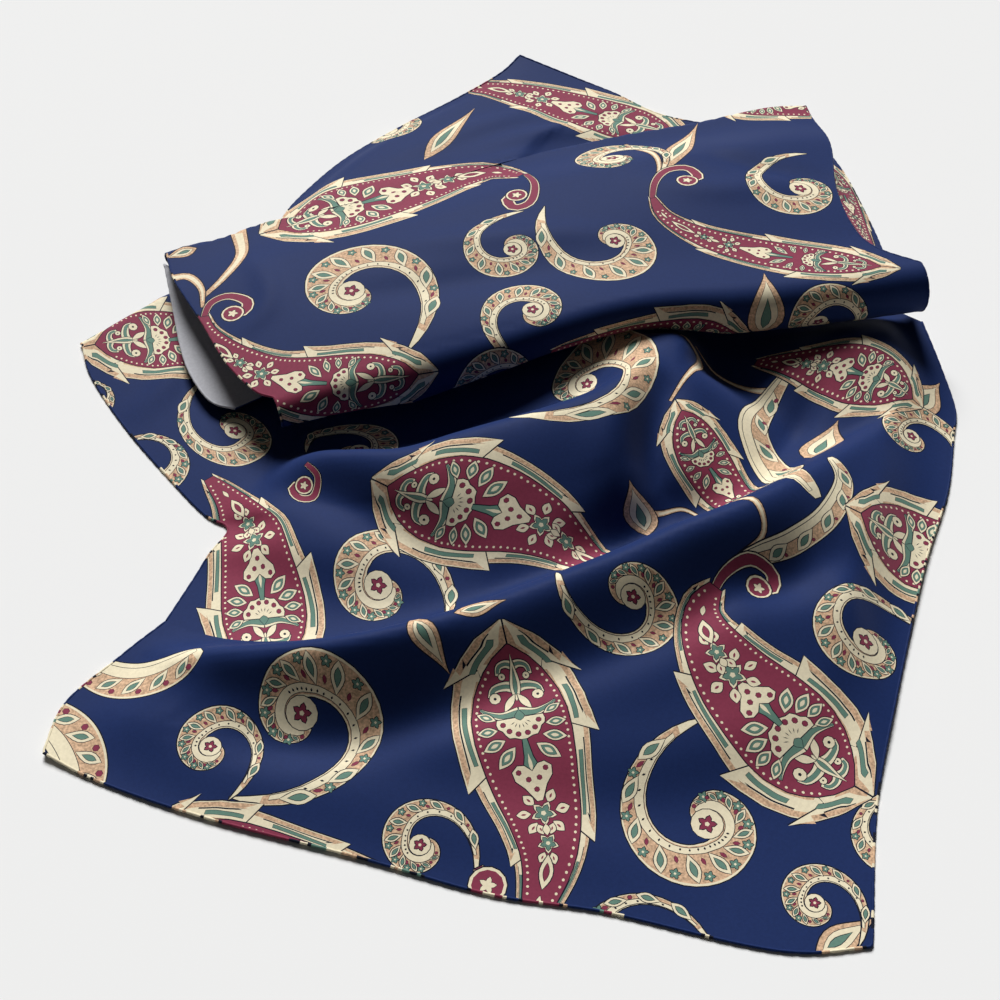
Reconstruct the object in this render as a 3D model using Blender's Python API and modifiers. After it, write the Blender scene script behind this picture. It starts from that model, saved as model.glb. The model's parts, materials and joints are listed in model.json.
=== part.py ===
"""An oblong silk scarf, dropped in a loose heap: zigzag folds, two ridges, one roll.

The one length of cloth shows as several stretches. Each is a sheet laid between four
edge lines, with folds raised on it and, where the cloth turns over, a curl on an edge.
Sizes are in millimetres in the tables, with X to the right, Y away from the viewer and
Z up from the surface that the scarf lies on; the solids are made in metres.
"""
import math

import bmesh
import bpy
import numpy as np
from mathutils import Vector
from mathutils.bvhtree import BVHTree

MM = 0.001
NAME = "oblong_scarf"
ORIGIN = (3.84, 55.51)       # middle of the heap in the tables' own X and Y

WALL = 1.5                  # cloth wall; real silk is thinner
SEAM = 0.3                  # gap between two stretches of cloth
REST = 1.6                  # top face of cloth that lies flat on the surface
SNAP = 0.5                  # an underside lower than this is put flat on the surface
CELL_ACROSS = 12.0          # grid step along the folds
CELL_ALONG = 8.5            # grid step over the folds
VALLEY = 5.0                # roundness of the valley between two folds
FADE = 0.3                  # share of a sheet over which its folds die out towards a kept edge
MERGE = 0.25                # rows of a curl closer than this are one

# Ridges raised on the cloth, from left to right: x, y and height of the crest.
# Slopes are rise over run; the crest radii make the fold round on top.
RIDGES = {
    "front": dict(
        crest=[(-126, -72, 1), (-110, -81, 4), (-94, -84, 7), (-60, -86, 12), (-30, -82, 17), (2, -71, 21),
               (42, -55, 25), (66, -43, 27), (85, -34, 27), (105, -20, 25), (127, 3, 17), (153, 32, 5)],
        front_slope=0.34, back_slope=1.9, front_radius=16, back_radius=7),
    "front_roll": dict(
        crest=[(-126, -72, 1), (-110, -81, 6), (-94, -84, 11), (-60, -86, 18), (-30, -82, 24), (2, -71, 28),
               (42, -55, 32), (66, -43, 34), (85, -34, 34), (105, -20, 31), (127, 3, 21), (153, 32, 5)],
        front_slope=1.1, back_slope=1.9, front_radius=8, back_radius=7),
    "left": dict(
        crest=[(-106, -14, 1), (-87, 2, 9), (-72, 7, 18), (-56, 4, 23), (-36, 1, 27), (-11, 8, 30),
               (22, 19, 32), (45, 31, 31), (58, 46, 28)],
        front_slope=0.55, back_slope=1.9, front_radius=14, back_radius=7),
    "left_end": dict(
        crest=[(60, 2, 5), (63, 16, 14), (65, 34, 22), (69, 50, 25), (73, 64, 24)],
        front_slope=2.2, back_slope=0.35, front_radius=5, back_radius=14),
    "right_rise": dict(
        crest=[(104, 60, 5), (122, 66, 11), (150, 75, 15), (178, 84, 10)],
        front_slope=0.30, back_slope=0.6, front_radius=10, back_radius=10),
    "front_crease": dict(
        crest=[(-140, -98, 1), (-112, -103, 5), (-80, -112, 5), (-45, -128, 1)],
        front_slope=0.25, back_slope=0.22, front_radius=14, back_radius=14),
}
TOP_RIDGES = {
    "step": dict(
        crest=[(-128, 112, 19), (-90, 96, 24), (-40, 98, 29), (20, 122, 32), (80, 140, 33), (138, 138, 30)],
        front_slope=0.10, back_slope=0.16, front_radius=20, back_radius=20),
    "back_ripple": dict(
        crest=[(40, 196, 17), (70, 186, 24), (104, 180, 27), (130, 184, 22)],
        front_slope=0.25, back_slope=0.22, front_radius=12, back_radius=12),
}

# Edge lines of each stretch: x, y and z of the top face.
VALLEY_LINE = [(-121, -60, REST), (-94, -71, 2), (-61, -71, 3), (-30, -66, 4), (2, -55, 5), (42, -39, 6),
               (70, -27, 6), (92, -16, 6), (112, -2, 5), (134, 22, 4), (158, 36, 2), (181, 34, REST)]
MEETING_LINE = [(-89, 152, 18), (-62, 160, 20), (-31, 173, 20), (9, 195, 17)]
SHEETS = {
    "front_end": dict(
        front=[(-155, -117, 3), (-134, -128, REST), (-97, -142, REST), (-45, -157, REST), (-3, -170, REST),
               (33, -176, REST), (75, -187, REST), (96, -190, REST), (116, -188, REST)],
        right=[(116, -188, REST), (125, -137, REST), (139, -91, REST), (158, -34, REST), (173, 3, REST),
               (181, 34, REST)],
        back=VALLEY_LINE,
        left=[(-155, -117, 3), (-151, -96, 2), (-135, -76, REST), (-121, -60, REST)]),
    "middle_fold": dict(
        front=VALLEY_LINE,
        right=[(181, 34, REST), (184, 48, REST), (182, 69, 3), (177, 94, 8)],
        back=[(-175, 86, 3), (-166, 93, 4), (-152, 105, 5), (-136, 117, 5), (-112, 108, 4), (-88, 74, 3),
              (-50, 70, 3), (-12, 76, 7), (18, 88, 10), (48, 98, 9), (90, 106, 3), (130, 112, 3),
              (158, 108, 6), (177, 94, 8)],
        left=[(-121, -60, REST), (-110, -32, REST), (-103, -16, REST), (-112, -9, REST), (-125, 6, REST),
              (-149, 37, REST), (-168, 67, 2), (-175, 86, 3)]),
    "upper_fold": dict(
        front=[(-88, 34, 14), (-60, 46, 19), (-30, 55, 25), (0, 63, 30), (22, 70, 33), (44, 78, 34),
               (70, 85, 33), (100, 88, 33), (140, 94, 34), (173, 101, 34)],
        right=[(173, 101, 34), (157, 113, 31), (149, 130, 26), (146, 158, 20), (149, 195, 17), (145, 238, 15)],
        back=[(-142, 124, 20), (-134, 129, 20), (-120, 134, 20), (-104, 145, 19)] + MEETING_LINE +
             [(30, 203, 17), (60, 213, 17), (92, 222, 17), (126, 235, 16), (145, 238, 15)],
        left=[(-88, 34, 14), (-96, 38, 16), (-109, 54, 18), (-121, 77, 19), (-136, 105, 20), (-142, 124, 20)]),
}
LAYERS = {
    "back_end": dict(
        front=[(-98, 153, 8), (-91, 152.5, 12), (-82, 154.6, 18)] + MEETING_LINE[1:] +
              [(14, 195.5, 14), (40, 198, 9), (80, 206, 6), (120, 216, 5)],
        right=[(120, 216, 5), (118, 226, 5), (114, 234, 5)],
        back=[(10, 301, REST), (38, 281, REST), (56, 268, 2), (79, 248, 3), (114, 234, 5)],
        left=[(-98, 153, 8), (-97, 166, 7), (-90, 186, 4), (-73, 213, 3), (-48, 240, 2), (-21, 264, REST),
              (0, 285, REST), (10, 301, REST)]),
    "turned_layer": dict(
        front=[(-106, 43, 8), (-94, 50, 9), (-82, 58, 11)],
        right=[(-82, 58, 11), (-84, 80, 14), (-98, 110, 17), (-112, 126, 18)],
        back=[(-143, 121, 17), (-134, 124, 17), (-112, 126, 18)],
        left=[(-106, 43, 8), (-116, 47, 8), (-125, 60, 9), (-131, 75, 10), (-137, 98, 12), (-143, 121, 17)]),
    "side_layer": dict(
        front=[(140, 128, 32), (152, 127, 24), (165, 126, 17)],
        right=[(165, 126, 17), (164, 150, 13), (159, 188, 10), (154, 210, 8)],
        back=[(132, 205, 20), (143, 209, 14), (154, 210, 8)],
        left=[(140, 128, 32), (137, 150, 29), (134, 180, 24), (132, 205, 20)]),
}

# Curls, where the cloth turns over an edge: share of the edge's length, radius and turn.
ROLL = [(0.0, 8, 100), (0.2, 12, 110), (0.4, 9, 110), (0.55, 8, 130), (0.7, 11, 170), (1.0, 11, 170)]
TOP_BACK_FOLD = [(0.0, 2.6, 165), (0.1, 2.6, 150), (0.15, 2.6, 70), (0.19, 2.6, 0), (0.55, 2.6, 0),
                 (0.64, 2.6, 50), (0.75, 2.8, 130), (1.0, 3.0, 160)]
FLOOR_FOLD = [(0.0, 2.4, 60), (0.1, 2.6, 70), (0.2, 2.4, 60), (0.3, 2.4, 0), (1.0, 2.4, 0)]

# The heap under the top fold: footprint corners, and the layers that show at its side.
CORE_OUTLINE = [(-96, 135), (-80, 147), (-56, 165), (-30, 178), (-2, 184), (24, 182), (60, 188),
                (98, 196), (124, 196), (130, 170), (128, 134), (92, 122), (50, 116), (0, 106),
                (-42, 92), (-66, 88), (-76, 98), (-88, 118)]
CORE_LAYERS = 5
CORE_GROOVE = 1.2
CORE_SIDES = 54
CORE_RINGS = (0.9, 0.75, 0.55, 0.35, 0.15)
CORE_CLEAR = 0.8

SILK = dict(color=(0.018, 0.036, 0.115, 1.0), roughness=0.55)
WRONG_SIDE = dict(color=(0.42, 0.43, 0.46, 1.0), roughness=0.65)


def clear_scene():
    """Remove what a new file holds."""
    for obj in list(bpy.data.objects):
        bpy.data.objects.remove(obj)


def smooth(value):
    """Ease from 0 to 1."""
    value = np.clip(value, 0.0, 1.0)
    return value * value * (3.0 - 2.0 * value)


def curve_through(points, count):
    """Read count + 1 evenly spaced points from a smooth curve through the given ones."""
    knots = np.array(points, float)
    padded = np.vstack([2 * knots[0] - knots[1], knots, 2 * knots[-1] - knots[-2]])
    fine = []
    for a, b, c, d in zip(padded, padded[1:], padded[2:], padded[3:]):
        for t in np.linspace(0, 1, 12, endpoint=False):
            bend = 2 * a - 5 * b + 4 * c - d + (3 * (b - c) + d - a) * t
            fine.append(b + 0.5 * t * ((c - a) + t * bend))
    fine.append(knots[-1])
    fine = np.array(fine)
    steps = np.linalg.norm(np.diff(fine[:, :2], axis=0), axis=1)
    run = np.concatenate([[0], np.cumsum(steps)])
    even = np.linspace(0, run[-1], count + 1)
    return np.column_stack([np.interp(even, run, fine[:, k]) for k in range(knots.shape[1])])


def length_of(points):
    """Length of a line of points."""
    return float(np.linalg.norm(np.diff(np.array(points, float), axis=0), axis=1).sum())


def ridge_height(places, ridge):
    """Height of one fold over each place: round on the crest, straight down its sides."""
    crest = curve_through(ridge["crest"], 90)
    start, end = crest[:-1], crest[1:]
    along = end[:, :2] - start[:, :2]
    offset = places[:, None, :2] - start[None, :, :2]
    share = np.clip((offset * along).sum(2) / (along ** 2).sum(1), 0, 1)
    away = offset - share[..., None] * along
    distance = np.linalg.norm(away, axis=2)
    top = start[:, 2] + share * (end - start)[:, 2]
    direction = along / np.linalg.norm(along, axis=1)[:, None]
    side = away[..., 1] * direction[:, 0] - away[..., 0] * direction[:, 1]
    behind = smooth(0.5 + 0.5 * side / np.maximum(distance, 1e-6))
    slope = ridge["front_slope"] + (ridge["back_slope"] - ridge["front_slope"]) * behind
    radius = ridge["front_radius"] + (ridge["back_radius"] - ridge["front_radius"]) * behind
    return (top - slope * (np.sqrt(radius ** 2 + distance ** 2) - radius)).max(axis=1)


def raise_ridges(grid, ridges, fade):
    """Lift a grid of points over the folds, with round valleys between them."""
    places = grid.reshape(-1, 3)
    height = places[:, 2]
    for ridge in ridges.values():
        crest = ridge_height(places, ridge)
        gap = height - crest
        lift = 0.5 * (np.sqrt(gap ** 2 + VALLEY ** 2) - gap)
        height = height + lift * smooth(1.5 - gap / 20.0)
    lifted = places.copy()
    lifted[:, 2] += (height - places[:, 2]) * fade.reshape(-1)
    return lifted.reshape(grid.shape)


def sheet_grid(edges, ridges, keep_back=False):
    """Lay a grid between four edge lines: rows go from front to back, columns from left to right.

    With keep_back the folds die out towards the back edge, which keeps its own height.
    """
    across = max(2, round(max(length_of(edges["front"]), length_of(edges["back"])) / CELL_ACROSS))
    along = max(2, round(max(length_of(edges["left"]), length_of(edges["right"])) / CELL_ALONG))
    front, back = (curve_through(edges[side], across) for side in ("front", "back"))
    left, right = (curve_through(edges[side], along) for side in ("left", "right"))
    s = np.linspace(0, 1, across + 1)[None, :, None]
    t = np.linspace(0, 1, along + 1)[:, None, None]
    grid = (1 - t) * front[None] + t * back[None] + (1 - s) * left[:, None] + s * right[:, None]
    grid -= ((1 - s) * (1 - t) * front[0] + s * (1 - t) * front[-1]
             + (1 - s) * t * back[0] + s * t * back[-1])
    fade = smooth((1 - t) / FADE) if keep_back else np.ones_like(t)
    return raise_ridges(grid, ridges, np.broadcast_to(fade, (along + 1, across + 1, 1)))


def curl_rows(grid, table, steps, tail):
    """Rows of points that carry on past the grid's last row and turn it down and under."""
    edge, inner = grid[-1], grid[-2]
    share = np.linspace(0, 1, len(edge))
    table = np.array(table, float)
    radius = np.interp(share, table[:, 0], table[:, 1])
    turn = np.radians(np.interp(share, table[:, 0], table[:, 2]))
    tangent = np.gradient(edge[:, :2], axis=0)
    outward = np.column_stack([-tangent[:, 1], tangent[:, 0]])
    outward /= np.linalg.norm(outward, axis=1)[:, None]
    outward *= np.sign(((edge - inner)[:, :2] * outward).sum(1))[:, None]
    run = ((edge - inner)[:, :2] * outward).sum(1)
    first = np.arctan2(inner[:, 2] - edge[:, 2], np.maximum(run, 1e-6))
    point, rows = edge.copy(), []
    for step in range(steps):
        angle = first + turn * (step + 0.5) / steps
        reach = radius * turn / steps
        point = point + np.column_stack([outward * (reach * np.cos(angle))[:, None], -reach * np.sin(angle)])
        rows.append(point)
    under = smooth((np.degrees(turn) - 120) / 40) * tail
    end = first + turn
    point = point + np.column_stack([outward * (under * np.cos(end))[:, None], -under * np.sin(end)])
    return np.array(rows + [point])


def trim(grid, first=False, last=False):
    """Draw the first or last row back a little, for the gap at a seam."""
    grid = grid.copy()
    if first:
        step = grid[1] - grid[0]
        grid[0] += step / np.linalg.norm(step, axis=1)[:, None] * SEAM * 1.6
    if last:
        step = grid[-2] - grid[-1]
        grid[-1] += step / np.linalg.norm(step, axis=1)[:, None] * SEAM * 1.6
    return grid


def make_material(name, look):
    """One Principled material for a piece."""
    material = bpy.data.materials.new(name)
    material.use_nodes = True
    shader = material.node_tree.nodes["Principled BSDF"]
    shader.inputs["Base Color"].default_value = look["color"]
    shader.inputs["Roughness"].default_value = look["roughness"]
    shader.inputs["Metallic"].default_value = 0.0
    return material


def add_object(name, points, faces, look, collection):
    """Make a mesh object from points in the tables' millimetres."""
    points = np.array(points, float)
    points[:, :2] -= ORIGIN
    mesh = bpy.data.meshes.new(name)
    mesh.from_pydata([tuple(p) for p in points * MM], [], faces)
    mesh.materials.append(make_material(name + "_cloth", look))
    obj = bpy.data.objects.new(name, mesh)
    collection.objects.link(obj)
    return obj


def thicken(obj):
    """Give an open sheet its wall, then put flat on the surface what rests there."""
    sheet = bmesh.new()
    sheet.from_mesh(obj.data)
    bmesh.ops.remove_doubles(sheet, verts=sheet.verts, dist=MERGE * MM)
    sheet.to_mesh(obj.data)
    sheet.free()
    wall = obj.modifiers.new("wall", "SOLIDIFY")
    wall.thickness = WALL * MM
    wall.offset = -1.0
    bpy.context.view_layer.update()
    solid = bpy.data.meshes.new_from_object(obj.evaluated_get(bpy.context.evaluated_depsgraph_get()))
    obj.modifiers.clear()
    obj.data = solid
    for vertex in solid.vertices:
        if vertex.co.z < SNAP * MM:
            vertex.co.z = 0.0
    solid.shade_smooth()
    return obj


def sheet_object(name, grid, look, collection):
    """Turn a grid of points into a walled sheet."""
    rows, columns = grid.shape[:2]
    faces = [(r * columns + c, r * columns + c + 1, (r + 1) * columns + c + 1, (r + 1) * columns + c)
             for r in range(rows - 1) for c in range(columns - 1)]
    return thicken(add_object(name, grid.reshape(-1, 3), faces, look, collection))


def ceiling(place, above, spread):
    """Lowest point of the given pieces over a place and just round it, or None."""
    lowest = None
    for dx, dy in [(0, 0)] + [(spread * math.cos(k * math.pi / 4), spread * math.sin(k * math.pi / 4))
                              for k in range(8)]:
        start = Vector(((place[0] + dx - ORIGIN[0]) * MM, (place[1] + dy - ORIGIN[1]) * MM, -0.01))
        for tree in above:
            hit = tree.ray_cast(start, Vector((0, 0, 1)))[0]
            if hit is not None and (lowest is None or hit.z / MM < lowest):
                lowest = hit.z / MM
    return lowest


def keep_under(grid, above, clear, spread):
    """Lower a grid where it would come up into the pieces above it."""
    grid = grid.copy()
    for point in grid.reshape(-1, 3):
        lowest = ceiling(point, above, spread)
        if lowest is not None:
            point[2] = max(REST, min(point[2], lowest - clear))
    return grid


def tree_of(obj):
    """Ray-casting tree of a piece."""
    return BVHTree.FromPolygons([v.co for v in obj.data.vertices], [p.vertices for p in obj.data.polygons])


def core_object(above, collection):
    """The hidden layers: one rounded heap, flat below, layered at its side, close under the cloth."""
    outline = curve_through(CORE_OUTLINE + CORE_OUTLINE[:1], CORE_SIDES)[:-1]
    middle = outline.mean(axis=0)
    tops = [ceiling(p, above, 5.0) - CORE_CLEAR for p in outline]
    rings = []
    for layer in range(CORE_LAYERS):
        for share, groove in ((0.0, 1), (0.5, 0), (1.0, 1)):
            if layer and share == 0.0:
                continue
            level = (layer + share) / CORE_LAYERS
            inset = CORE_GROOVE * groove if level > 0 else 0.0
            pull = 1 - (inset + 4.0 * level ** 3) / 90.0
            ring = middle + (outline - middle) * pull
            rings.append([(x, y, top * 0.9 * level) for (x, y), top in zip(ring, tops)])
    for share in CORE_RINGS:
        ring = middle + (outline - middle) * share
        rings.append([(x, y, ceiling((x, y), above, 5.0) - CORE_CLEAR) for x, y in ring])
    points = [p for ring in rings for p in ring]
    points.append((middle[0], middle[1], ceiling(middle, above, 5.0) - CORE_CLEAR))
    faces = [tuple(reversed(range(CORE_SIDES)))]
    for ring in range(len(rings) - 1):
        for side in range(CORE_SIDES):
            after = (side + 1) % CORE_SIDES
            low, high = ring * CORE_SIDES, (ring + 1) * CORE_SIDES
            faces.append((low + side, low + after, high + after, high + side))
    last = (len(rings) - 1) * CORE_SIDES
    faces += [(last + side, last + (side + 1) % CORE_SIDES, len(points) - 1) for side in range(CORE_SIDES)]
    flip = np.cross(outline, np.roll(outline, -1, axis=0)).sum() < 0
    if flip:
        faces = [tuple(reversed(face)) for face in faces]
    return add_object("hidden_layers", points, faces, SILK, collection)


def build():
    """Lay the stretches from the top of the heap down, each kept clear of those above."""
    clear_scene()
    collection = bpy.data.collections.new(NAME)
    bpy.context.scene.collection.children.link(collection)

    top = sheet_grid(SHEETS["upper_fold"], TOP_RIDGES, keep_back=True)
    roll = curl_rows(top[::-1], ROLL, 7, 6.0)[::-1]
    turned = curl_rows(top, TOP_BACK_FOLD, 5, 3.0)
    upper = sheet_object("upper_fold", np.concatenate([roll, top, turned]), SILK, collection)
    above = [tree_of(upper)]

    for name, look in (("turned_layer", WRONG_SIDE), ("side_layer", SILK)):
        grid = keep_under(sheet_grid(LAYERS[name], {}), above, 0.7, 4.0)
        above.append(tree_of(sheet_object(name, grid, look, collection)))

    back = trim(sheet_grid(LAYERS["back_end"], {}), first=True)
    back = keep_under(back, above, 0.6, 0.3)
    above.append(tree_of(sheet_object("back_end", back, SILK, collection)))

    middle = trim(sheet_grid(SHEETS["middle_fold"], RIDGES), first=True)
    middle = keep_under(middle, above, 1.0, 3.0)
    folded = curl_rows(middle, FLOOR_FOLD, 3, 0.0)
    middle = sheet_object("middle_fold", np.concatenate([middle, folded]), SILK, collection)
    above.append(tree_of(middle))

    front = trim(sheet_grid(SHEETS["front_end"], RIDGES), last=True)
    sheet_object("front_end", front, SILK, collection)
    core_object(above[:-1], collection)


build()
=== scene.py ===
"""Looks of an oblong silk scarf that lies in a loose heap: cloth, print, hems, light and camera.

The cloth is one printed length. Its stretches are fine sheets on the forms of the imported
solids, worked out from the same edge lines and folds. The print is drawn flat, in
millimetres of cloth, cut into one mesh with the sheet, and then laid over the folds.
"""
import json
import math

import bpy
import numpy as np
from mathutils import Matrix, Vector, geometry
from mathutils.bvhtree import BVHTree

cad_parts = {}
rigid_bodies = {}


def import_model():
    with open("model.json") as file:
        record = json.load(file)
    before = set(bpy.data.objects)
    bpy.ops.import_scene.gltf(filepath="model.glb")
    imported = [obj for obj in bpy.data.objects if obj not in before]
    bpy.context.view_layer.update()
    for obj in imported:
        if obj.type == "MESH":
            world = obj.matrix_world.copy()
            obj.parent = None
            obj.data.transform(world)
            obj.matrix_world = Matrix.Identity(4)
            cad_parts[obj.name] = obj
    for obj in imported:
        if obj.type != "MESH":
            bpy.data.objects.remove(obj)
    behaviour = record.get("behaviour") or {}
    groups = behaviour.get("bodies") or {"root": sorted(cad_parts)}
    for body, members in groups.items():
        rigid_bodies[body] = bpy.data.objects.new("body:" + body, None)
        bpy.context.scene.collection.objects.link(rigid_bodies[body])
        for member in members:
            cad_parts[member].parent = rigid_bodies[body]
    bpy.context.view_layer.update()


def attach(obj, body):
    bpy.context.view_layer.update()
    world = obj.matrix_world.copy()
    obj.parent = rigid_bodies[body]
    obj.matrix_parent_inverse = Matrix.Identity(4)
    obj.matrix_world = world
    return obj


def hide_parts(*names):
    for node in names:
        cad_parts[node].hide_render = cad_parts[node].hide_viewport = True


MM = 0.001
ORIGIN = (3.84, 55.51)      # middle of the heap in the tables' own X and Y

CLOTH = 0.7                 # thickness of the visible cloth
SINK = 0.8                  # the visible cloth's top lies this far below the solids' top
HEM = 0.6                   # radius of the rolled hem
HEM_STEP = 1.3              # spacing of the hem's rings
HEM_SIDES = 6
HEM_GAP = 0.5               # points of an edge that lie closer count as one
HEM_INSIDE = 1.2            # the hem takes the print's colour this far inside the edge
STITCH_RINGS = 4            # one stitch dimple in every so many rings
STITCH_PINCH = 0.8          # the hem's radius at a stitch, as a share of the whole
REST = 1.6                  # top face of a solid that lies flat on the surface
CELL = 2.4                  # grid step of the form
PRINT_CELL = 2.9            # grid step of the printed mesh away from the motifs
SAME_PLACE = 0.4            # points of an outline that lie closer count as one
CUT_REACH = 0.002           # points that lie closer become one when the print is cut in
VALLEY = 5.0                # roundness of the valley between two folds
VALLEY_DEPTH = 20.0         # a fold stops lifting the cloth this far under it
CLEAR = 1.2                 # air kept between sheets that lie on each other
FADE = 0.3                  # share of a sheet over which its folds die out towards a kept edge
HEM_FADE = 26.0             # width over which the folds die out towards a cut edge on the surface
HEM_LIFT = 0.15             # share of the folds' height that stays at that edge
JOINED = (-80, 8)           # stretch in X where the far end is one cloth with the top fold
CORE_ROOM = 20.0            # greatest height of the hidden layers
CORE_CLEAR = 2.2            # air between the hidden layers and the cloth above them

# The front ridge's crest, from left to right: x, y, the height of its broad foot and that of its round top.
FRONT_CREST = [(-126, -72, 1, 1), (-110, -81, 4, 6), (-94, -84, 7, 11), (-60, -86, 12, 18),
               (-30, -82, 17, 24), (2, -71, 21, 28), (42, -55, 25, 32), (66, -43, 27, 34), (85, -34, 27, 34),
               (105, -20, 25, 31), (127, 3, 17, 21), (153, 32, 5, 5)]

# Ridges raised on the cloth, from left to right: x, y and height of the crest.
RIDGES = {
    "front": dict(
        crest=[(x, y, foot) for x, y, foot, top in FRONT_CREST],
        front_slope=0.34, back_slope=1.9, front_radius=16, back_radius=7),
    "front_roll": dict(
        crest=[(x, y, top) for x, y, foot, top in FRONT_CREST],
        front_slope=1.1, back_slope=1.9, front_radius=8, back_radius=7),
    "left": dict(
        crest=[(-106, -14, 1), (-87, 2, 9), (-72, 7, 18), (-56, 4, 23), (-36, 1, 27), (-11, 8, 30),
               (22, 19, 32), (45, 31, 31), (58, 46, 28)],
        front_slope=0.55, back_slope=1.9, front_radius=14, back_radius=7),
    "left_end": dict(
        crest=[(60, 2, 5), (63, 16, 14), (65, 34, 22), (69, 50, 25), (73, 64, 24)],
        front_slope=2.2, back_slope=0.35, front_radius=5, back_radius=14),
    "right_rise": dict(
        crest=[(104, 60, 5), (122, 66, 11), (150, 75, 15), (178, 84, 10)],
        front_slope=0.30, back_slope=0.6, front_radius=10, back_radius=10),
    "front_crease": dict(
        crest=[(-140, -98, 1), (-112, -103, 5), (-80, -112, 5), (-45, -128, 1)],
        front_slope=0.25, back_slope=0.22, front_radius=14, back_radius=14),
}
TOP_RIDGES = {
    "step": dict(
        crest=[(-128, 112, 19), (-90, 96, 24), (-40, 98, 29), (20, 122, 32), (80, 140, 33), (138, 138, 30)],
        front_slope=0.10, back_slope=0.16, front_radius=20, back_radius=20),
    "back_ripple": dict(
        crest=[(40, 196, 17), (70, 186, 24), (104, 180, 27), (130, 184, 22)],
        front_slope=0.25, back_slope=0.22, front_radius=12, back_radius=12),
}

# Edge lines of each stretch: x, y and z of the solid's top face.
VALLEY_LINE = [(-121, -60, REST), (-94, -71, 2), (-61, -71, 3), (-30, -66, 4), (2, -55, 5), (42, -39, 6),
               (70, -27, 6), (92, -16, 6), (112, -2, 5), (134, 22, 4), (158, 36, 2), (181, 34, REST)]
MEETING_LINE = [(-89, 152, 18), (-62, 160, 20), (-31, 173, 20), (9, 195, 17)]
SHEETS = {
    "front_end": dict(
        front=[(-155, -117, 3), (-134, -128, REST), (-97, -142, REST), (-45, -157, REST), (-3, -170, REST),
               (33, -176, REST), (75, -187, REST), (96, -190, REST), (116, -188, REST)],
        right=[(116, -188, REST), (125, -137, REST), (139, -91, REST), (158, -34, REST), (173, 3, REST),
               (181, 34, REST)],
        back=VALLEY_LINE,
        left=[(-155, -117, 3), (-151, -96, 2), (-135, -76, REST), (-121, -60, REST)]),
    "middle_fold": dict(
        front=VALLEY_LINE,
        right=[(181, 34, REST), (184, 48, REST), (182, 69, 3), (177, 94, 8)],
        back=[(-175, 86, 3), (-166, 93, 4), (-152, 105, 5), (-136, 117, 5), (-112, 108, 4), (-88, 74, 3),
              (-50, 70, 3), (-12, 76, 7), (18, 88, 10), (48, 98, 9), (90, 106, 3), (130, 112, 3),
              (158, 108, 6), (177, 94, 8)],
        left=[(-121, -60, REST), (-110, -32, REST), (-103, -16, REST), (-112, -9, REST), (-125, 6, REST),
              (-149, 37, REST), (-168, 67, 2), (-175, 86, 3)]),
    "upper_fold": dict(
        front=[(-88, 34, 14), (-60, 46, 19), (-30, 55, 25), (0, 63, 30), (22, 70, 33), (44, 78, 34),
               (70, 85, 33), (100, 88, 33), (140, 94, 34), (173, 101, 34)],
        right=[(173, 101, 34), (157, 113, 31), (149, 130, 26), (146, 158, 20), (149, 195, 17),
               (145, 238, 15)],
        back=[(-142, 124, 20), (-134, 129, 20), (-120, 134, 20), (-104, 145, 19)] + MEETING_LINE +
             [(30, 203, 17), (60, 213, 17), (92, 222, 17), (126, 235, 16), (145, 238, 15)],
        left=[(-88, 34, 14), (-96, 38, 16), (-109, 54, 18), (-121, 77, 19), (-136, 105, 20),
              (-142, 124, 20)]),
    "back_end": dict(
        front=[(-98, 153, 8), (-91, 152.5, 12), (-82, 154.6, 18)] + MEETING_LINE[1:] +
              [(14, 195.5, 14), (40, 198, 9), (80, 206, 6), (120, 216, 5)],
        right=[(120, 216, 5), (118, 226, 5), (114, 234, 5)],
        back=[(10, 301, REST), (38, 281, REST), (56, 268, 2), (79, 248, 3), (114, 234, 5)],
        left=[(-98, 153, 8), (-97, 166, 7), (-90, 186, 4), (-73, 213, 3), (-48, 240, 2), (-21, 264, REST),
              (0, 285, REST), (10, 301, REST)]),
    "turned_layer": dict(
        front=[(-106, 43, 8), (-94, 50, 9), (-82, 58, 11)],
        right=[(-82, 58, 11), (-84, 80, 14), (-98, 110, 17), (-112, 126, 18)],
        back=[(-143, 121, 17), (-134, 124, 17), (-112, 126, 18)],
        left=[(-106, 43, 8), (-116, 47, 8), (-125, 60, 9), (-131, 75, 10), (-137, 98, 12), (-143, 121, 17)]),
    "side_layer": dict(
        front=[(140, 128, 32), (152, 127, 24), (165, 126, 17)],
        right=[(165, 126, 17), (164, 150, 13), (159, 188, 10), (154, 210, 8)],
        back=[(132, 205, 20), (143, 209, 14), (154, 210, 8)],
        left=[(140, 128, 32), (137, 150, 29), (134, 180, 24), (132, 205, 20)]),
}

# Curls, where the cloth turns over an edge: share of the edge's length, radius and turn.
ROLL = [(0.0, 8, 100), (0.2, 12, 110), (0.4, 9, 110), (0.55, 8, 130), (0.7, 11, 170), (1.0, 11, 170)]
TOP_BACK_FOLD = [(0.0, 2.6, 165), (0.1, 2.6, 150), (0.15, 2.6, 70), (0.19, 2.6, 0), (0.55, 2.6, 0),
                 (0.64, 2.6, 50), (0.75, 2.8, 130), (1.0, 3.0, 160)]
FLOOR_FOLD = [(0.0, 2.4, 60), (0.1, 2.6, 70), (0.2, 2.4, 60), (0.3, 2.4, 0), (1.0, 2.4, 0)]

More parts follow.
